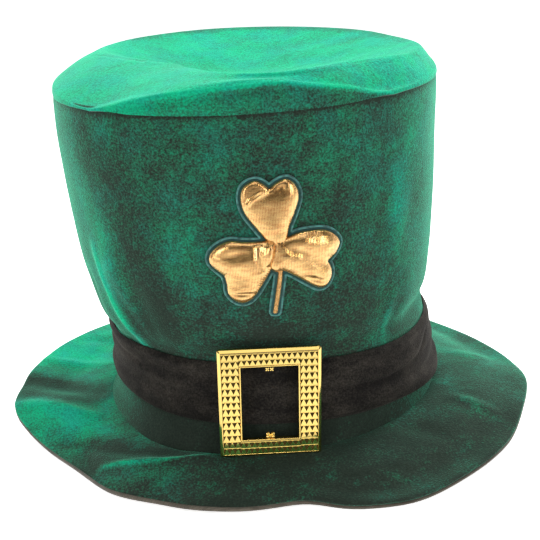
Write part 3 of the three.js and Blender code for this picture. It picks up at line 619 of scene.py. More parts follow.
def distance_to_line(spots, line):
    """Distances of flat points from a line of points, and how far along it they are nearest"""
    best = np.full(len(spots), np.inf)
    along = np.zeros(len(spots))
    passed = 0.0
    for start, end in zip(line[:-1], line[1:]):
        start, end = np.array(start, float), np.array(end, float)
        length = np.linalg.norm(end - start)
        way = (end - start) / length
        share = np.clip((spots - start) @ way, 0, length)
        apart = np.linalg.norm(spots - start - share[:, None] * way, axis=1)
        nearer = apart < best
        best[nearer] = apart[nearer]
        along[nearer] = passed + share[nearer]
        passed += length
    return best, along, passed


def ridge(spots, line, width, depth=1.0):
    """Heights of a ridge along a line, which fades out at its ends"""
    apart, along, length = distance_to_line(spots, line)
    fade = np.sin(math.pi * np.clip(along / length, 0, 1)) ** 0.5
    return depth * fade * np.exp(-(apart / width) ** 2)


def add_ridges(values, spots, rows, placed, column="depth"):
    """The values with the ridges of a table, whose lines a function puts in place"""
    for row in rows:
        values = values + ridge(spots, placed(row.line), row.width, getattr(row, column))
    return values


def noise_at(points, name, millimetre=MM):
    """Noise about 0 at points in metres or, where a millimetre is given as 1, in millimetres"""
    amount, size, seed = NOISE[name]
    scaled = points / (np.asarray(size) * millimetre) + seed
    return amount * np.array([noise.noise(point) for point in scaled])


def eased(values, low, high):
    share = np.clip((values - low) / (high - low), 0, 1)
    return share * share * (3 - 2 * share)


def add_nap(mesh, values):
    """How bright the pile is, brushed and with painted light and shade, mostly from 0 to 1, for the velour's
    colour
    """
    attribute = mesh.attributes.new("nap", "FLOAT", "POINT")
    attribute.data.foreach_set("value", np.clip(values, *NAP_LIMITS).astype(np.float32))


def line_inside(mesh):
    """The faces that look into the hat get the second material, its lining"""
    for polygon in mesh.polygons:
        middle = polygon.center
        away = Vector((middle.x - AXIS.x, middle.y - AXIS.y, 0)).normalized()
        looks_in = polygon.normal.dot(away) < LOOKS_IN and polygon.normal.z < LOOKS_UP
        polygon.material_index = 1 if looks_in or polygon.normal.z < LOOKS_DOWN else 0


def make_cloth(materials, node, levels, shape, nap, slot, *linings):
    """A smooth copy of a node, with the brightness of its pile and its painted light if it is velour, its
    relief and its lining if it has one
    """
    piece = smooth_copy(node, levels, *[materials[name] for name in (slot, *linings)])
    mesh = piece.data
    if nap:
        add_nap(mesh, nap(points_of(mesh)))
    set_points(mesh, shape(mesh))
    if linings:
        line_inside(mesh)
    dress(piece, slot, node)
    return piece


# The crown

def crown_shape(mesh):
    """Bumps and a faint unevenness above the band"""
    points = points_of(mesh)
    relief = sum(row.depth * soft_spot(points, row) for row in CROWN_BUMPS)
    relief = add_ridges(relief, unrolled(points), CROWN_FOLDS, on_wall)
    relief = relief + noise_at(points, "crown form")
    above_band = eased(points[:, 2], *RELIEF_STARTS)
    below_seam = 1 - eased(points[:, 2], *RELIEF_ENDS)
    return points + outwards(points) * (MM * relief * above_band * below_seam)[:, None]


def crown_nap_and_painted_light(points):
    """Painted light towards the top and painted shade in the seam, with spots and folds that are partly
    painted highlight and shade, and mottling
    """
    share = (points[:, 2] - CROWN_LOW.z) / CROWN_HEIGHT
    # The rise is painted light towards the top; the spots are partly brushed patches and partly painted
    # highlights and shade
    spots = sum(row.nap * soft_spot(points, row) for row in CROWN_NAP_AND_PAINTED_LIGHT)
    nap = CROWN_NAP_FOOT + CROWN_PAINTED_LIGHT_RISE * share + spots
    # Painted highlights on raised folds and painted shade in sunken ones
    nap = add_ridges(nap, unrolled(points), CROWN_FOLDS, on_wall, "nap")
    nap += noise_at(points, "crown patches")
    # Painted shade in the seam under the tip
    nap -= SEAM_PAINTED_SHADE * np.exp(-((points[:, 2] - CROWN_HIGH.z) / SEAM_WIDTH) ** 2)
    return nap + noise_at(points, "crown specks")


# The tip of the crown

def tip_creases(points):
    """Shares of the dish's rim, the valley behind it, the front fold and the valley under it"""
    plan = points[:, :2] / MM
    rim = ridge(plan, on_plan(DISH_RIM), RIM_WIDTH)
    behind_rim = ridge(plan - np.array([0, RIM_VALLEY_SHIFT]), on_plan(DISH_RIM), RIM_VALLEY_WIDTH)
    spread = unrolled(points)
    outer = eased(reaches(points), *TIP_OUTER)
    fold = ridge(spread, on_wall(FRONT_FOLD), FOLD_WIDTH) * outer
    above_seam = eased(spread[:, 1], *TIP_ABOVE_SEAM)
    dropped = spread + np.array([0, FOLD_VALLEY_DROP])
    under_fold = ridge(dropped, on_wall(FRONT_FOLD), FOLD_VALLEY_WIDTH) * outer * above_seam
    return rim, behind_rim, fold, under_fold


def tip_nap_and_painted_light(points):
    """Painted light on top, painted highlights along the creases, brighter below the fold at the left, and
    darker on the far side, with painted shade behind the rim
    """
    rim, behind_rim, fold, _ = tip_creases(points)
    turns, heights = zip(*FRONT_FOLD)
    over_fold = points[:, 2] / MM - np.interp(azimuths(points), turns, heights)
    top = np.maximum(eased(over_fold, *TIP_OVER_FOLD), 1 - eased(reaches(points), *TIP_TOP_ENDS))
    # Painted light on the tip's top
    nap = TIP_NAP + TIP_PAINTED_TOP_LIGHT * top + noise_at(points, "tip patches")
    nap += noise_at(points, "tip specks")
    nap += TIP_LEFT_BRIGHTENING * (1 - top) * eased(-azimuths(points), *TIP_LEFT)
    back = eased(np.abs(azimuths(points)), *TIP_BACK)
    nap -= TIP_BACK_DARKENING * eased(reaches(points), *TIP_WALL) * back
    # Painted highlights on the fold and the rim, and painted shade in the valley behind the rim
    return nap + (TIP_PAINTED_CREST_HIGHLIGHT * fold + TIP_PAINTED_CREST_HIGHLIGHT * rim - TIP_PAINTED_VALLEY_SHADE * behind_rim)


def right_edge(points):
    """A share from 0 to 1 of the tip's edge at the right, above its seam"""
    turns = azimuths(points)
    across = eased(turns, *EDGE_STARTS) * (1 - eased(turns, *EDGE_ENDS))
    up = eased(points[:, 2] / MM, *EDGE_HEIGHTS)
    return across * up * eased(reaches(points) / MM, *EDGE_REACHES)


def evened(heights, faces, rounds):
    """Heights after each point has moved towards the mean of its neighbours some times"""
    count = len(heights)
    first = np.array([face[i - 1] for face in faces for i in range(len(face))])
    second = np.array([corner for face in faces for corner in face])
    neighbours = np.bincount(first, minlength=count) + np.bincount(second, minlength=count)
    for _ in range(rounds):
        sums = np.bincount(first, heights[second], count) + np.bincount(second, heights[first], count)
        heights = 0.5 * heights + 0.5 * sums / np.maximum(neighbours, 1)
    return heights


def tip_shape(mesh):
    """Creases, a faint unevenness of the dish, and a softer edge at the right"""
    points = points_of(mesh)
    rim, behind_rim, fold, under_fold = tip_creases(points)
    inner = np.clip(1 - (reaches(points) / TIP_REACH) ** 4, 0, 1)
    relief = noise_at(points, "tip form") * inner
    relief += RIM_RISE * rim - RIM_VALLEY_DEPTH * behind_rim
    upright = np.array([0, 0, 1]) * relief[:, None]
    points += MM * (upright + normals_of(mesh) * (fold - FOLD_VALLEY_DEPTH * under_fold)[:, None])
    faces = [list(polygon.vertices) for polygon in mesh.polygons]
    relaxed = np.column_stack([evened(points[:, axis], faces, EDGE_EVENING) for axis in range(3)])
    return points + right_edge(points)[:, None] * (relaxed - points)


# The brim

def brim_shape(mesh):
    """Ridges and a faint unevenness of either layer of the brim"""
    points = points_of(mesh)
    relief = add_ridges(np.zeros(len(points)), points[:, :2] / MM, BRIM_RIDGES, on_plan)
    relief += noise_at(points * np.array([1, 1, 0]), "brim form")
    points[:, 2] += MM * relief * eased(points[:, 2], *BRIM_LIFTS)
    return points


def brim_nap_and_painted_light(points):
    """Painted light on the left, less at the back and on the right, and painted shade in front, with lines
    of painted sheen and shadow
    """
    nap = BRIM_NAP_AND_SHADE_BASE + noise_at(points, "brim patches")
    nap += noise_at(points, "brim specks")
    turns = azimuths(points)
    # Painted light on the left, less of it at the back, and some on the right; the low base leaves painted
    # shade in front
    left = BRIM_PAINTED_LIGHT_LEFT * eased(-turns, *BRIM_LEFT) * (1 - BRIM_PAINTED_LIGHT_FALLOFF * eased(-turns, *BRIM_BACK))
    nap += left + BRIM_PAINTED_LIGHT_RIGHT * eased(turns, *BRIM_RIGHT)
    # Lines of painted sheen on ridges and the front crease, painted shadow in valleys, and some brushed
    # streaks
    return add_ridges(nap, points[:, :2] / MM, BRIM_NAP_AND_PAINTED_LIGHT, on_plan, "nap")


# The hatband

def band_edges(points):
    """The lower and upper edge of the band at each azimuth"""
    turns = azimuths(points)
    steps = np.arange(-180, 181, BAND_STEP)
    low, high = [], []
    for step in steps:
        near = np.abs((turns - step + 180) % 360 - 180) < BAND_STEP
        low.append(points[near, 2].min())
        high.append(points[near, 2].max())
    return np.interp(turns, steps, low), np.interp(turns, steps, high)


def band_reach(points):
    return reaches(points).mean() / MM


def band_places(points):
    """Places along the band and heights, in millimetres"""
    along = np.radians(azimuths(points)) * band_reach(points)
    return np.column_stack([along, np.zeros(len(points)), points[:, 2] / MM])


def band_shape(mesh):
    """Creases and long shallow waves between the band's edges, on its outer side"""
    points = points_of(mesh)
    away = outwards(points)
    facing = np.clip((normals_of(mesh) * away).sum(axis=1), 0, 1)
    low, high = band_edges(points)
    share = (points[:, 2] - low) / (high - low)
    reach = band_reach(points)
    height = (BAND_HIGH.z - BAND_LOW.z) / MM * BAND_UPRIGHT

    def placed(line):
        return [(math.radians(azimuth) * reach, up * height) for azimuth, up in line]

    places = band_places(points)
    spots = np.column_stack([places[:, 0], share * height])
    relief = add_ridges(np.zeros(len(points)), spots, BAND_CREASES, placed)
    relief += noise_at(places, "band waves", 1) + noise_at(places, "band ripples", 1)
    between_edges = eased(share, *BAND_FOOT) * (1 - eased(share, *BAND_HEAD))
    return points + away * (MM * relief * facing * between_edges)[:, None]


def band_nap(points):
    places = band_places(points)
    return BAND_NAP + noise_at(places, "band patches", 1) + noise_at(places, "band specks", 1)


# Flat outlines

def spline(outline, step):
    """A closed smooth line through the points of an outline, with a point about every step"""
    points = [np.array(point, float) for point in outline.points]
    count = len(points)
    slopes = [(points[(i + 1) % count] - points[i - 1]) / 2 for i in range(count)]
    for corner in outline.corners:
        slopes[corner] = np.zeros(2)
    line = []
    for i in range(count):
        start, end = points[i], points[(i + 1) % count]
        first, last = slopes[i], slopes[(i + 1) % count]
        steps = max(2, round(np.linalg.norm(end - start) / step))
        for j in range(steps):
            share = j / steps
            square, cube = share ** 2, share ** 3
            line.append((2 * cube - 3 * square + 1) * start + (cube - 2 * square + share) * first
                        + (3 * square - 2 * cube) * end + (cube - square) * last)
    return np.array(line)


def closed(line):
    return np.vstack([line, line[:1]])


def inside(spots, line):
    """Which flat points lie inside a closed line"""
    result = np.zeros(len(spots), bool)
    for start, end in zip(line, np.roll(line, -1, axis=0)):
        crosses = (start[1] > spots[:, 1]) != (end[1] > spots[:, 1])
        rise = end[1] - start[1]
        if abs(rise) > 1e-12:
            at = start[0] + (spots[:, 1] - start[1]) * (end[0] - start[0]) / rise
            result ^= crosses & (spots[:, 0] < at)
    return result


def fill(line, spacing):
    """Flat points, triangles and the rim's places among the points, for the inside of a closed line"""
    low, high = line.min(axis=0), line.max(axis=0)
    rows = np.arange(low[1], high[1], spacing * ROW_SHARE)
    grid = []
    for index, up in enumerate(rows):
        shift = spacing / 2 * (index % 2)
        grid += [(across, up) for across in np.arange(low[0] + shift, high[0], spacing)]
    grid = np.array(grid)
    grid = grid[inside(grid, line)]
    apart, _, _ = distance_to_line(grid, closed(line))
    spots = np.vstack([line, grid[apart > RIM_SHARE * spacing]])
    rim = list(range(len(line)))
    edges = [(i, (i + 1) % len(line)) for i in rim]
    found = geometry.delaunay_2d_cdt([Vector(spot) for spot in spots], edges, [rim], 1, 1e-6)
    places = {source: index for index, sources in enumerate(found[3]) for source in sources}
    flat = np.array([tuple(spot) for spot in found[0]])
    return flat, [list(face) for face in found[2]], [places[i] for i in rim]


def lengths_along(line):
    """How far along a line each of its points is"""
    return np.concatenate([[0], np.cumsum(np.linalg.norm(np.diff(line, axis=0), axis=1))])


def points_at(line, lengths, at):
    return np.column_stack([np.interp(at, lengths, line[:, axis]) for axis in (0, 1)])


def resampled(line, step):
    """Points an even step apart on an open line"""
    points = np.array(line, float)
    lengths = lengths_along(points)
    return points_at(points, lengths, np.arange(0, lengths[-1], step))


def evenly(line, step):
    """The closed line with points an even step apart, with its corners eased"""
    ring = closed(line)
    lengths = lengths_along(ring)
    count = round(lengths[-1] / step)
    even = points_at(ring, lengths, np.arange(count) * lengths[-1] / count)
    for _ in range(2):
        even = (np.roll(even, 1, axis=0) + 2 * even + np.roll(even, -1, axis=0)) / 4
    return even


def area(line):
    following = np.roll(line, -1, axis=0)
    return 0.5 * (line[:, 0] * following[:, 1] - line[:, 1] * following[:, 0]).sum()


def grown(line, amount):
    """A closed line moved outwards"""
    way = np.roll(line, -1, axis=0) - np.roll(line, 1, axis=0)
    way /= np.maximum(np.linalg.norm(way, axis=1), TINY)[:, None]
    sign = 1 if area(line) > 0 else -1
    return line + sign * amount * np.column_stack([way[:, 1], -way[:, 0]])


# Places on the crown and what is laid there

class CrownSurface:
    """Finds places on the finished crown, across and up from the shamrock's middle, in millimetres"""

    def __init__(self, mesh):
        corners = [vertex.co for vertex in mesh.vertices]
        self.tree = BVHTree.FromPolygons(corners, [polygon.vertices for polygon in mesh.polygons])
        self.middle = (SHAMROCK_LOW + SHAMROCK_HIGH) / 2
        self.reach = SHAMROCK_REACH * MM
        self.turn = math.asin((self.middle.x - AXIS.x) / self.reach)

    def place(self, across, up, lift):
        turn = self.turn + across * MM / self.reach
        away = Vector((math.sin(turn), -math.cos(turn), 0))
        start = Vector((AXIS.x, AXIS.y, self.middle.z + up * MM)) + away * 2 * self.reach
        hit, _, _, _ = self.tree.ray_cast(start, -away)
        return hit + away * lift * MM


def oriented(spots, faces):
    """Triangles that look out of the crown"""
    return [face if area(spots[face]) > 0 else face[::-1] for face in faces]


def slab(surface, spots, faces, rim, tops, back):
    """A closed layer on the crown, from one lift at its back to its own lift at each point in front"""
    count = len(spots)
    points = [surface.place(*spot, top) for spot, top in zip(spots, tops)]
    points += [surface.place(*spot, back) for spot in spots]
    front = oriented(spots, faces)
    behind = [[index + count for index in reversed(face)] for face in front]
    ring = rim if area(spots[rim]) > 0 else rim[::-1]
    walls = []
    for first, second in zip(ring, ring[1:] + ring[:1]):
        walls.append([first, first + count, second + count, second])
    return points, front + behind + walls


def gather(parts):
    """Points and faces of several parts as one"""
    points, faces = [], []
    for part_points, part_faces in parts:
        start = len(points)
        points += part_points
        faces += [[index + start for index in face] for face in part_faces]
    return points, faces


def tube(rings, sides, joined=False):
    """Faces between rings of points, and from the last ring to the first where they are joined"""
    faces = []
    for ring in range(rings if joined else rings - 1):
        low, high = ring * sides, (ring + 1) % rings * sides
        for side in range(sides):
            other = (side + 1) % sides
            faces.append([low + side, low + other, high + other, high + side])
    return faces


def stitch(surface, middle, along, kind, sides=6, rings=5):
    """One satin stitch, which comes up on one side of its line and goes down on the other"""
    across = np.array([along[1], -along[0]])
    half = kind.thickness / 2
    points = []
    for ring in range(rings):
        share = ring / (rings - 1)
        spot = middle + across * kind.length * (share - 0.5) + along * STITCH_SLANT * (share - 0.5)
        lift = kind.lift + kind.arch * math.sin(math.pi * share)
        for side in range(sides):
            turn = 2 * math.pi * side / sides
            beside = spot + along * half * math.cos(turn)
            points.append(surface.place(*beside, lift + half * math.sin(turn)))
    ends = [list(range(sides))[::-1], list(range((rings - 1) * sides, rings * sides))]
    return points, ends + tube(rings, sides)


def stitches_along(surface, line, kind):
    """Stitches side by side over a line"""
    way = np.gradient(line, axis=0)
    way /= np.linalg.norm(way, axis=1)[:, None]
    return [stitch(surface, middle, along, kind) for middle, along in zip(line, way)]


# The padded shamrock

def swell(spots, faces, rim):
    """Heights of cloth that is stitched down at its rim and swells from behind, in millimetres"""
    scale = PADDING_SCALE * MM
    flat = [(across * scale, up * scale, 0) for across, up in spots]
    trial = add_piece("padding_trial", flat, oriented(spots, faces))
    trial.vertex_groups.new(name="rim").add(rim, 1.0, "REPLACE")
    cloth = trial.modifiers.new("cloth", "CLOTH")
    cloth.settings.vertex_group_mass = "rim"
    for name, value in PADDING_CLOTH.items():
        setattr(cloth.settings, name, value)
    cloth.settings.effector_weights.gravity = 0
    cloth.collision_settings.use_collision = False
    for number in range(1, PADDING_FRAMES + 1):
        bpy.context.scene.frame_set(number)
    heights = points_of(evaluated(trial).data)[:, 2] / scale
    mesh = trial.data
    bpy.data.objects.remove(trial)
    bpy.data.meshes.remove(mesh)
    bpy.context.scene.frame_set(1)
    return heights


def domed(apart):
    """Heights of a plain cushion, by the distance from its rim"""
    share = np.clip(apart / PAD_SHOULDER, 0, 1)
    return PAD_PUFF * np.sqrt(1 - (1 - share) ** 2)


def dent(spots, row):
    """A share from 0 to 1 of one dent of the padding"""
    turn = math.radians(row.turn)
    dx, dy = spots[:, 0] - row.across, spots[:, 1] - row.up
    long = (dx * math.cos(turn) + dy * math.sin(turn)) / row.half_long
    short = (dy * math.cos(turn) - dx * math.sin(turn)) / row.half_short
    return np.exp(-long ** 2 - short ** 2)


def leaf_heights(name, spots, faces, rim, line):
    apart, along, _ = distance_to_line(spots, closed(line))
    tops = domed(apart)
    swelled = np.clip(evened(swell(spots, faces, rim), faces, PADDING_EVENING), 0, None)
    capped = SWELL_SHARE * PAD_PUFF * np.tanh(SWELL_GAIN * swelled / PAD_PUFF)
    tops = (1 - SWELL_SHARE) * tops + capped
    within = eased(apart, *PAD_WITHIN)
    for row in PADDING_DENTS:
        if row.leaf == name:
            tops = tops + row.depth * within * dent(spots, row)
    for row in PADDING_FOLDS:
        if row.leaf == name:
            tops = tops + ridge(spots, row.line, row.width, row.depth) * within
    near_rim = np.exp(-(apart / PUCKER_REACH) ** 2) * eased(apart, *PUCKER_STARTS)
    pucker = PUCKER_DEPTH * np.sin(2 * math.pi * along / PUCKER_PITCH) * near_rim
    level = np.column_stack([spots, np.zeros(len(spots))])
    crinkle = noise_at(level, "padding crinkle", 1) * within
    return np.clip(tops + pucker + crinkle, 0, None)


def make_shamrock_pad(surface, materials):
    parts = []
    for leaf in LEAVES:
        line = spline(leaf, PAD_SPACING)
        spots, faces, rim = fill(line, PAD_SPACING)
        lift = PAD_LIFT + leaf.lift
        tops = leaf_heights(leaf.name, spots, faces, rim, line) + lift + PAD_RIM
        parts.append(slab(surface, spots, faces, rim, tops, lift))
    parts += stitches_along(surface, resampled(STEM_LINE, STEM_PITCH), STEM_STITCH)
    piece = add_piece("shamrock_padding", *gather(parts), materials["gold_cloth"])
    piece.data.shade_smooth()
    piece.data.set_sharp_from_angle(angle=math.radians(SOFT_CORNER))
    dress(piece, "gold_cloth", "shamrock_pad")


# The stitched edging of the shamrock

def around_all(reach):
    """One even line round the leaves and the stem, found by rays from the shamrock's hub"""
    hub = np.array(SHAMROCK_HUB, float)
    lines = [grown(spline(outline, OUTLINE_STEP), reach) for outline in [*LEAVES, STEM]]
    ends = []
    for angle in np.radians(np.arange(0, 360, RAY_STEP)):
        ray = np.array([math.cos(angle), math.sin(angle)])
        farthest = 0.0
        for line in lines:
            start = line - hub
            side = np.roll(line, -1, axis=0) - line
            turning = ray[0] * side[:, 1] - ray[1] * side[:, 0]
            turning[np.abs(turning) < TINY] = TINY
            share = (start[:, 0] * ray[1] - start[:, 1] * ray[0]) / turning
            length = (start[:, 0] * side[:, 1] - start[:, 1] * side[:, 0]) / turning
            met = (share >= 0) & (share <= 1)
            if met.any():
                farthest = max(farthest, length[met].max())
        ends.append(hub + farthest * ray)
    return evenly(np.array(ends), STITCH_PITCH)


def make_edging(surface, materials):
    spots, faces, rim = fill(around_all(BACKING_REACH), BACKING_SPACING)
    backing = slab(surface, spots, faces, rim, np.full(len(spots), BACKING_TOP), BACKING_LIFT)
    stitches = stitches_along(surface, around_all(STITCH_LINE), EDGE_STITCH)
    whole = gather([backing, *stitches])
    piece = add_piece("shamrock_stitching", *whole, materials["backing"], materials["teal_thread"])
    piece.data.shade_smooth()
    for polygon in piece.data.polygons:
        polygon.material_index = 0 if polygon.index < len(backing[1]) else 1
    piece.data.set_sharp_from_angle(angle=math.radians(SOFT_CORNER))
    dress(piece, "teal_thread", "shamrock_edging")


# The buckle, first flat in its own plane: x across, z up and y towards its back, in millimetres

def buckle_size():
    """Width and height of the turned buckle, from the box of its CAD node"""
    turn = math.radians(BUCKLE_TURN)
    across = (BUCKLE_HIGH.x - BUCKLE_LOW.x) / MM
    up = (BUCKLE_HIGH.z - BUCKLE_LOW.z) / MM
    width = (across * math.cos(turn) - up * math.sin(turn)) / math.cos(2 * turn)
    height = (up * math.cos(turn) - across * math.sin(turn)) / math.cos(2 * turn)
    return width, height


def rounded_ring(half_width, half_height, radius, front):
    """Points of a rectangle with round corners at one distance in front of the buckle's back"""
    ring = []
    for corner, (side, end) in enumerate([(1, 1), (-1, 1), (-1, -1), (1, -1)]):
        for step in range(CORNER_STEPS + 1):
            turn = math.radians(90 * (corner + step / CORNER_STEPS))
            x = side * (half_width - radius) + radius * math.cos(turn)
            z = end * (half_height - radius) + radius * math.sin(turn)
            ring.append(Vector((x, -front, z)))
    return ring


def buckle_frame(width, height):
    """The frame with its two rounded rims, as rings from the outer back edge to the inner one"""
    rings = []
    for inset, front in OUTER_RIM:
        corner = max(BUCKLE_CORNER - inset, INNER_CORNER)
        rings.append(rounded_ring(width / 2 - inset, height / 2 - inset, corner, front))
    window = (width / 2 - BUCKLE_BAR_SIDE, height / 2 - BUCKLE_BAR_END)
    for inset, front in INNER_RIM:
        rings.append(rounded_ring(window[0] + inset, window[1] + inset, WINDOW_CORNER, front))
    points = [point for ring in rings for point in ring]
    return points, tube(len(rings), len(rings[0]), joined=True)


def stud(x, z, width, height):
    """A flat triangle that points up over a narrow foot, between hollows that deepen upwards"""
    half, tall = width / 2, height / 2
    back = -(BUCKLE_PLATE - STUD_SINK)
    front = -(BUCKLE_PLATE + STUD_HEIGHT)
    deep = front + STUD_HOLLOW
    foot = -tall + STUD_FOOT
    peak = tall - STUD_LEDGE
    corners = [
        (-half, back, -tall), (half, back, -tall), (half, back, tall), (-half, back, tall),
        (-half, front, -tall), (half, front, -tall), (-half, front, foot), (half, front, foot),
        (0, front - STUD_LEAN, peak), (-half, deep, peak), (half, deep, peak), (0, deep, peak),
        (-half, front, peak), (half, front, peak), (-half, front, tall), (half, front, tall),
    ]
    faces = [
        [4, 5, 7, 6], [6, 7, 8], [6, 11, 9], [7, 10, 11], [6, 8, 11], [7, 11, 8],
        [9, 11, 8, 12], [10, 13, 8, 11], [12, 8, 13, 15, 14],
        [0, 1, 5, 4], [1, 2, 15, 13, 10, 7, 5], [3, 0, 4, 6, 9, 12, 14], [2, 3, 14, 15], [0, 3, 2, 1],
    ]
    return [Vector((x + across, y, z + up)) for across, y, up in corners], faces


def stud_rows(length, pitch):
    """Middles of studs that share a length evenly, and the size of each"""
    count = max(1, round(length / pitch))
    return [(index - (count - 1) / 2) * length / count for index in range(count)], length / count


def stud_field(x, z, width, height):
    across, wide = stud_rows(width, BUCKLE_PITCH_ACROSS)
    up, tall = stud_rows(height, BUCKLE_PITCH_UP)
    return [stud(x + dx, z + dz, wide, tall) for dx in across for dz in up]


def block(x, z, width, height, back, front, turn=0.0):
    """A small block in the plane of the buckle, turned in that plane and narrower in front"""
    points = []
    for depth, share in ((-back, 1), (-front, BLOCK_TAPER)):
        for side, end in ((-1, -1), (1, -1), (1, 1), (-1, 1)):
            a, b = side * width / 2 * share, end * height / 2 * share
            across = a * math.cos(turn) - b * math.sin(turn)
            up = a * math.sin(turn) + b * math.cos(turn)
            points.append(Vector((x + across, depth, z + up)))
    faces = [[0, 3, 2, 1], [4, 5, 6, 7], [0, 1, 5, 4], [1, 2, 6, 5], [2, 3, 7, 6], [3, 0, 4, 7]]
    return points, faces


def knob(x, z, radius, back, front, sides=10, rings=4):
    """A small round knob"""
    points = []
    for ring in range(rings):
        rise = math.radians(90 * ring / rings)
        reach = radius * math.cos(rise)
        depth = back + (front - back) * math.sin(rise)
        for side in range(sides):
            turn = 2 * math.pi * side / sides
            points.append(Vector((x + reach * math.cos(turn), -depth, z + reach * math.sin(turn))))
    last = (rings - 1) * sides
    peak = len(points)
    points.append(Vector((x, -front, z)))
    cap = [[last + side, last + (side + 1) % sides, peak] for side in range(sides)]
    return points, tube(rings, sides) + cap


def buckle_tabs(height):
    """The small crosses at the top of the window and the knobs at its bottom"""
    top = height / 2 - BUCKLE_BAR_END
    parts = []
    for across in (-CROSS_ACROSS, CROSS_ACROSS):
        for turn in (45, -45):
            parts.append(block(across, top - CROSS_DROP, *CROSS_SIZE, *CROSS_DEPTHS, math.radians(turn)))
    parts.append(block(0, -top + TAB_RISE, *TAB_SIZE, *TAB_DEPTHS))
    for row in KNOBS:
        parts.append(knob(row.across, -top + row.up, row.radius, KNOB_FOOT, row.front))
    return parts


def make_buckle(materials):
    width, height = buckle_size()
    height *= BUCKLE_STRETCH
    side_field = BUCKLE_BAR_SIDE - BUCKLE_RIM - WINDOW_RIM
    end_field = BUCKLE_BAR_END - BUCKLE_RIM - WINDOW_RIM
    side_x = width / 2 - BUCKLE_RIM - side_field / 2
    end_z = height / 2 - BUCKLE_RIM - end_field / 2
    inner_width = width - 2 * (BUCKLE_RIM + side_field)
    parts = [buckle_frame(width, height)]
    for side in (-1, 1):
        parts += stud_field(side * side_x, 0, side_field, height - 2 * BUCKLE_RIM)
        parts += stud_field(0, side * end_z, inner_width, end_field)
    parts += buckle_tabs(height)
    points, faces = gather(parts)
    middle = (BUCKLE_LOW + BUCKLE_HIGH) / 2
    seat = Matrix.Translation((middle.x, BUCKLE_HIGH.y, middle.z))
    lean = Matrix.Rotation(math.radians(BUCKLE_TURN + BUCKLE_TWIST), 4, "Y")
    turned = seat @ Matrix.Rotation(math.radians(BUCKLE_YAW), 4, "Z") @ lean @ Matrix.Scale(MM, 4)
    placed = [turned @ point for point in points]
    piece = add_piece("buckle_moulding", placed, faces, materials["gold_plastic"])
    shape = bmesh.new()
    shape.from_mesh(piece.data)
    bmesh.ops.recalc_face_normals(shape, faces=shape.faces)
    shape.to_mesh(piece.data)
    shape.free()
    piece.data.set_sharp_from_angle(angle=math.radians(HARD_CORNER))
    for polygon in piece.data.polygons:
        polygon.use_smooth = polygon.index < len(parts[0][1])
    dress(piece, "gold_plastic", "buckle")


# Materials

class Graph:
    """The nodes of a material or world, made and linked by short calls with sizes in millimetres"""

    def __init__(self, owner, shader="Principled BSDF"):
        owner.use_nodes = True
        self.owner = owner
        self.tree = owner.node_tree
        self.shader = self.tree.nodes[shader]

    def put(self, socket, value):
        if isinstance(value, bpy.types.NodeSocket):
            self.tree.links.new(value, socket)
        else:
            socket.default_value = value

    def finish(self, inputs):
        """The material or world, once its shader has these inputs"""
        for name, value in inputs.items():
            self.put(self.shader.inputs[name], value)
        return self.owner

    def node(self, kind, inputs, output, **settings):
        """A node with its settings and its inputs by name or number, and one of its outputs"""
        made = self.tree.nodes.new("ShaderNode" + kind)
        for key, value in settings.items():
            setattr(made, key, value)
        for key, value in inputs.items():
            self.put(made.inputs[key], value)
        return made.outputs[output]

    def place(self):
        return self.node("TexCoord", {}, "Object")

    def noise(self, size, detail=2.0, stretch=(1, 1, 1), roughness=0.5):
        """Noise with patches of a size, longer along an axis whose stretch is above 1"""
        scale = [1 / (size * MM * part) for part in stretch]
        moved = self.node("Mapping", {"Vector": self.place(), "Scale": scale}, "Vector")
        inputs = {"Vector": moved, "Scale": 1.0, "Detail": detail, "Roughness": roughness}
        return self.node("TexNoise", inputs, "Fac")

    def waves(self, pitch, direction, distortion):
        """Even threads side by side in one direction"""
        inputs = {
            "Vector": self.place(), "Scale": math.pi / (10 * pitch * MM), "Distortion": distortion,
            "Detail": 2.0, "Detail Scale": 1.5,
        }
        return self.node("TexWave", inputs, "Fac", bands_direction=direction)

    def ramp(self, value, low, high, start=0.0, end=1.0):
        """The value spread from start to end between two limits"""
        inputs = {"Value": value, "From Min": low, "From Max": high, "To Min": start, "To Max": end}
        return self.node("MapRange", inputs, "Result")

    def spread(self, value, start=0.0, end=1.0):
        """Noise spread from start to end over most of its range"""
        return self.ramp(value, 0.3, 0.7, start, end)

    def math(self, operation, first, second):
        return self.node("Math", {0: first, 1: second}, "Value", operation=operation)

    def mix(self, share, first, second):
        return self.node("Mix", {0: share, 6: first, 7: second}, 2, data_type="RGBA")

    def bump(self, height, distance, strength=1.0, **inputs):
        inputs = {"Height": height, "Distance": distance * MM, "Strength": strength, **inputs}
        return self.node("Bump", inputs, "Normal")


def new_graph(name):
    return Graph(bpy.data.materials.new(name))


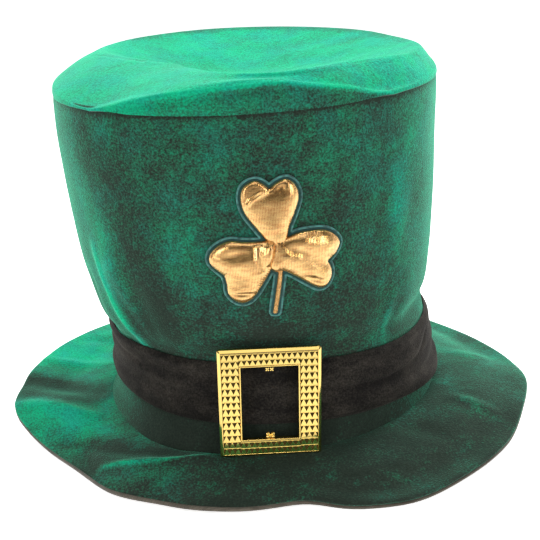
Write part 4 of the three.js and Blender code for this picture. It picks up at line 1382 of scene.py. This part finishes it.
def velour(name, dark, bright, cool, sheen, weight):
    """Short pile: brushed patches with painted light and shade from the mesh, bright and dark tufts, and a
    sheen towards its outline
    """
    graph = new_graph(name)
    nap = graph.node("Attribute", {}, "Fac", attribute_name="nap")
    tufts = graph.noise(1.0, 2.0, (1.1, 1.1, 1.0), 0.7)
    strands = graph.noise(2.6, 3.0, (1.2, 1.2, 1.0), 0.65)
    clouds = graph.noise(11, 3.0, (1.2, 1.2, 0.8), 0.6)
    share = nap
    for patches, part in ((tufts, 0.29), (strands, 0.15), (clouds, 0.12)):
        share = graph.math("ADD", share, graph.spread(patches, -part, part))
    hue = graph.ramp(graph.noise(16), 0.4, 0.62)
    lit = graph.mix(hue, linear(bright), linear(cool))
    colour = graph.mix(graph.ramp(share, 0.0, 1.0), linear(dark), lit)
    # The pile's values, with their painted light and shade, and the tufts scale the colour's brightness
    depth = graph.math("MULTIPLY", graph.spread(tufts, 0.66, 1.34), graph.ramp(nap, *NAP_LIMITS, 0.45, 1.45))
    return graph.finish({
        "Base Color": graph.node("VectorMath", {0: colour, "Scale": depth}, "Vector", operation="SCALE"),
        "Normal": graph.bump(tufts, 0.4),
        "Roughness": 0.9,
        "Specular IOR Level": 0.12,
        "Sheen Weight": weight,
        "Sheen Roughness": 0.3,
        "Sheen Tint": linear(sheen),
    })


def woven(name, dark, light):
    """Plain cloth with crossing threads"""
    graph = new_graph(name)
    threads = graph.math("MAXIMUM", graph.waves(0.7, "X", 1.0), graph.waves(0.7, "Y", 1.0))
    worn = graph.spread(graph.noise(6, 3.0), 0.4, 1.0)
    share = graph.math("MULTIPLY", graph.ramp(threads, 0.2, 1.0, 0.4, 1.0), worn)
    return graph.finish({
        "Base Color": graph.mix(share, linear(dark), linear(light)),
        "Normal": graph.bump(threads, 0.12),
        "Roughness": 0.85,
        "Specular IOR Level": 0.2,
        "Sheen Weight": 0.3,
    })


def gold_plastic():
    """Plated plastic: bright, with a faint unevenness in the plating"""
    graph = new_graph("gold_plastic")
    return graph.finish({
        "Base Color": linear(PLATED_GOLD),
        "Metallic": 1.0,
        "Roughness": graph.ramp(graph.noise(5), 0.35, 0.7, 0.06, 0.14),
        "Normal": graph.bump(graph.noise(2.5), 0.1, 0.3),
    })


def gold_cloth():
    """Metallic cloth: fine upright threads, a faint crosswise crinkle and painted shade in a warmer colour
    in between
    """
    graph = new_graph("gold_cloth")
    upright = graph.waves(0.75, "X", 1.2)
    dots = graph.noise(0.7, 1.0, (0.8, 1.0, 1.3))
    crinkle = graph.noise(2.2, 2.0, (2.2, 2.2, 0.7))
    threads = graph.math("ADD", graph.math("MULTIPLY", upright, 0.5), graph.math("MULTIPLY", dots, 0.5))
    # Painted shade in a warmer colour between the threads
    share = graph.ramp(graph.math("ADD", threads, graph.spread(crinkle, -0.2, 0.2)), 0.12, 0.72)
    return graph.finish({
        "Base Color": graph.mix(share, linear(CLOTH_PAINTED_SHADE), linear(CLOTH_GOLD)),
        "Normal": graph.bump(threads, 0.05, Normal=graph.bump(crinkle, 0.12)),
        "Metallic": 0.9,
        "Roughness": 0.25,
        "Coat Weight": 0.8,
        "Coat Roughness": 0.25,
        "Coat IOR": 1.8,
    })


def thread():
    """Satin thread, whose tone changes a little from place to place"""
    graph = new_graph("teal_thread")
    tone = graph.spread(graph.noise(2))
    return graph.finish({
        "Base Color": graph.mix(tone, linear(BACKING_TEAL), linear(THREAD_TEAL)),
        "Normal": graph.bump(graph.noise(0.25), 0.08),
        "Roughness": 0.45,
        "Sheen Weight": 0.2,
    })


def make_materials():
    return {
        "green_velour": velour("green_velour", VELOUR_DARK, VELOUR_BRIGHT, VELOUR_TEAL, VELOUR_SHEEN, 0.9),
        "black_velour": velour("black_velour", BLACK_DARK, BLACK_LIGHT, BLACK_LIGHT, BLACK_SHEEN, 0.25),
        "lining_cloth": woven("lining_cloth", LINING_DARK, LINING_LIGHT),
        "inside": woven("inside_cloth", INSIDE_DARK, INSIDE_LIGHT),
        "backing": woven("backing_cloth", BACKING_TEAL, BACKING_TEAL),
        "gold_plastic": gold_plastic(),
        "gold_cloth": gold_cloth(),
        "teal_thread": thread(),
    }


# The camera and the studio

def add_camera():
    camera = add_object("camera", bpy.data.cameras.new("camera"))
    camera.data.sensor_width = SENSOR
    camera.data.lens = LENS
    camera.data.clip_start = 0.01
    tilt = Matrix.Rotation(math.radians(90 - CAMERA_PITCH), 4, "X")
    roll = Matrix.Rotation(math.radians(-CAMERA_ROLL), 4, "Z")
    camera.matrix_world = Matrix.Translation(CAMERA_PLACE) @ tilt @ roll
    bpy.context.scene.camera = camera


def add_light(name, place, target, size, power):
    light = add_object(name, bpy.data.lights.new(name, "AREA"))
    light.data.shape = "RECTANGLE"
    light.data.size, light.data.size_y = size
    light.data.energy = power
    light.location = place
    light.rotation_euler = (Vector(target) - Vector(place)).to_track_quat("-Z", "Y").to_euler()


def add_floor():
    graph = new_graph("floor")
    forward = graph.node("SeparateXYZ", {0: graph.place()}, "Y")
    seen = graph.ramp(forward, FLOOR_FRONT, FLOOR_BACK)
    material = graph.finish({
        "Base Color": graph.mix(seen, FLOOR_GREY, FLOOR_WHITE),
        "Roughness": 0.9,
        "Emission Color": WHITE,
        "Emission Strength": graph.math("MULTIPLY", seen, FLOOR_GLOW),
    })
    corners = [(FLOOR_REACH * x, FLOOR_REACH * y, 0) for x, y in ((-1, -1), (1, -1), (1, 1), (-1, 1))]
    floor = add_piece("floor", corners, [[0, 1, 2, 3]], material)
    floor.location.z = -FLOOR_DROP


def add_world():
    """White all round behind the hat, and darker on the side of the camera"""
    world = bpy.data.worlds.new("studio")
    bpy.context.scene.world = world
    graph = Graph(world, "Background")
    way = graph.node("TexCoord", {}, "Generated")
    back = graph.node("SeparateXYZ", {0: way}, "Y")
    up = graph.node("SeparateXYZ", {0: way}, "Z")
    lean = graph.node("Math", {0: up, 1: AIR_LEAN, 2: back}, "Value", operation="MULTIPLY_ADD")
    air = graph.ramp(lean, AIR_FRONT, AIR_BACK, AIR_IN_FRONT, AIR_BEHIND)
    graph.finish({"Color": WHITE, "Strength": air})


def add_studio():
    bpy.context.scene.view_settings.view_transform = "Standard"
    add_floor()
    add_world()
    for row in LIGHTS:
        add_light(*row)


def main():
    add_camera()
    materials = make_materials()
    green = ("green_velour", "inside")
    crown = make_cloth(materials, "crown_side", FINE, crown_shape, crown_nap_and_painted_light, *green)
    make_cloth(materials, "crown_tip", FINE, tip_shape, tip_nap_and_painted_light, *green)
    make_cloth(materials, "brim_top", FINE, brim_shape, brim_nap_and_painted_light, "green_velour")
    make_cloth(materials, "brim_under", COARSE, brim_shape, None, "lining_cloth")
    make_cloth(materials, "hatband", FINE, band_shape, band_nap, "black_velour")
    surface = CrownSurface(crown.data)
    make_shamrock_pad(surface, materials)
    make_edging(surface, materials)
    make_buckle(materials)
    add_studio()


main()
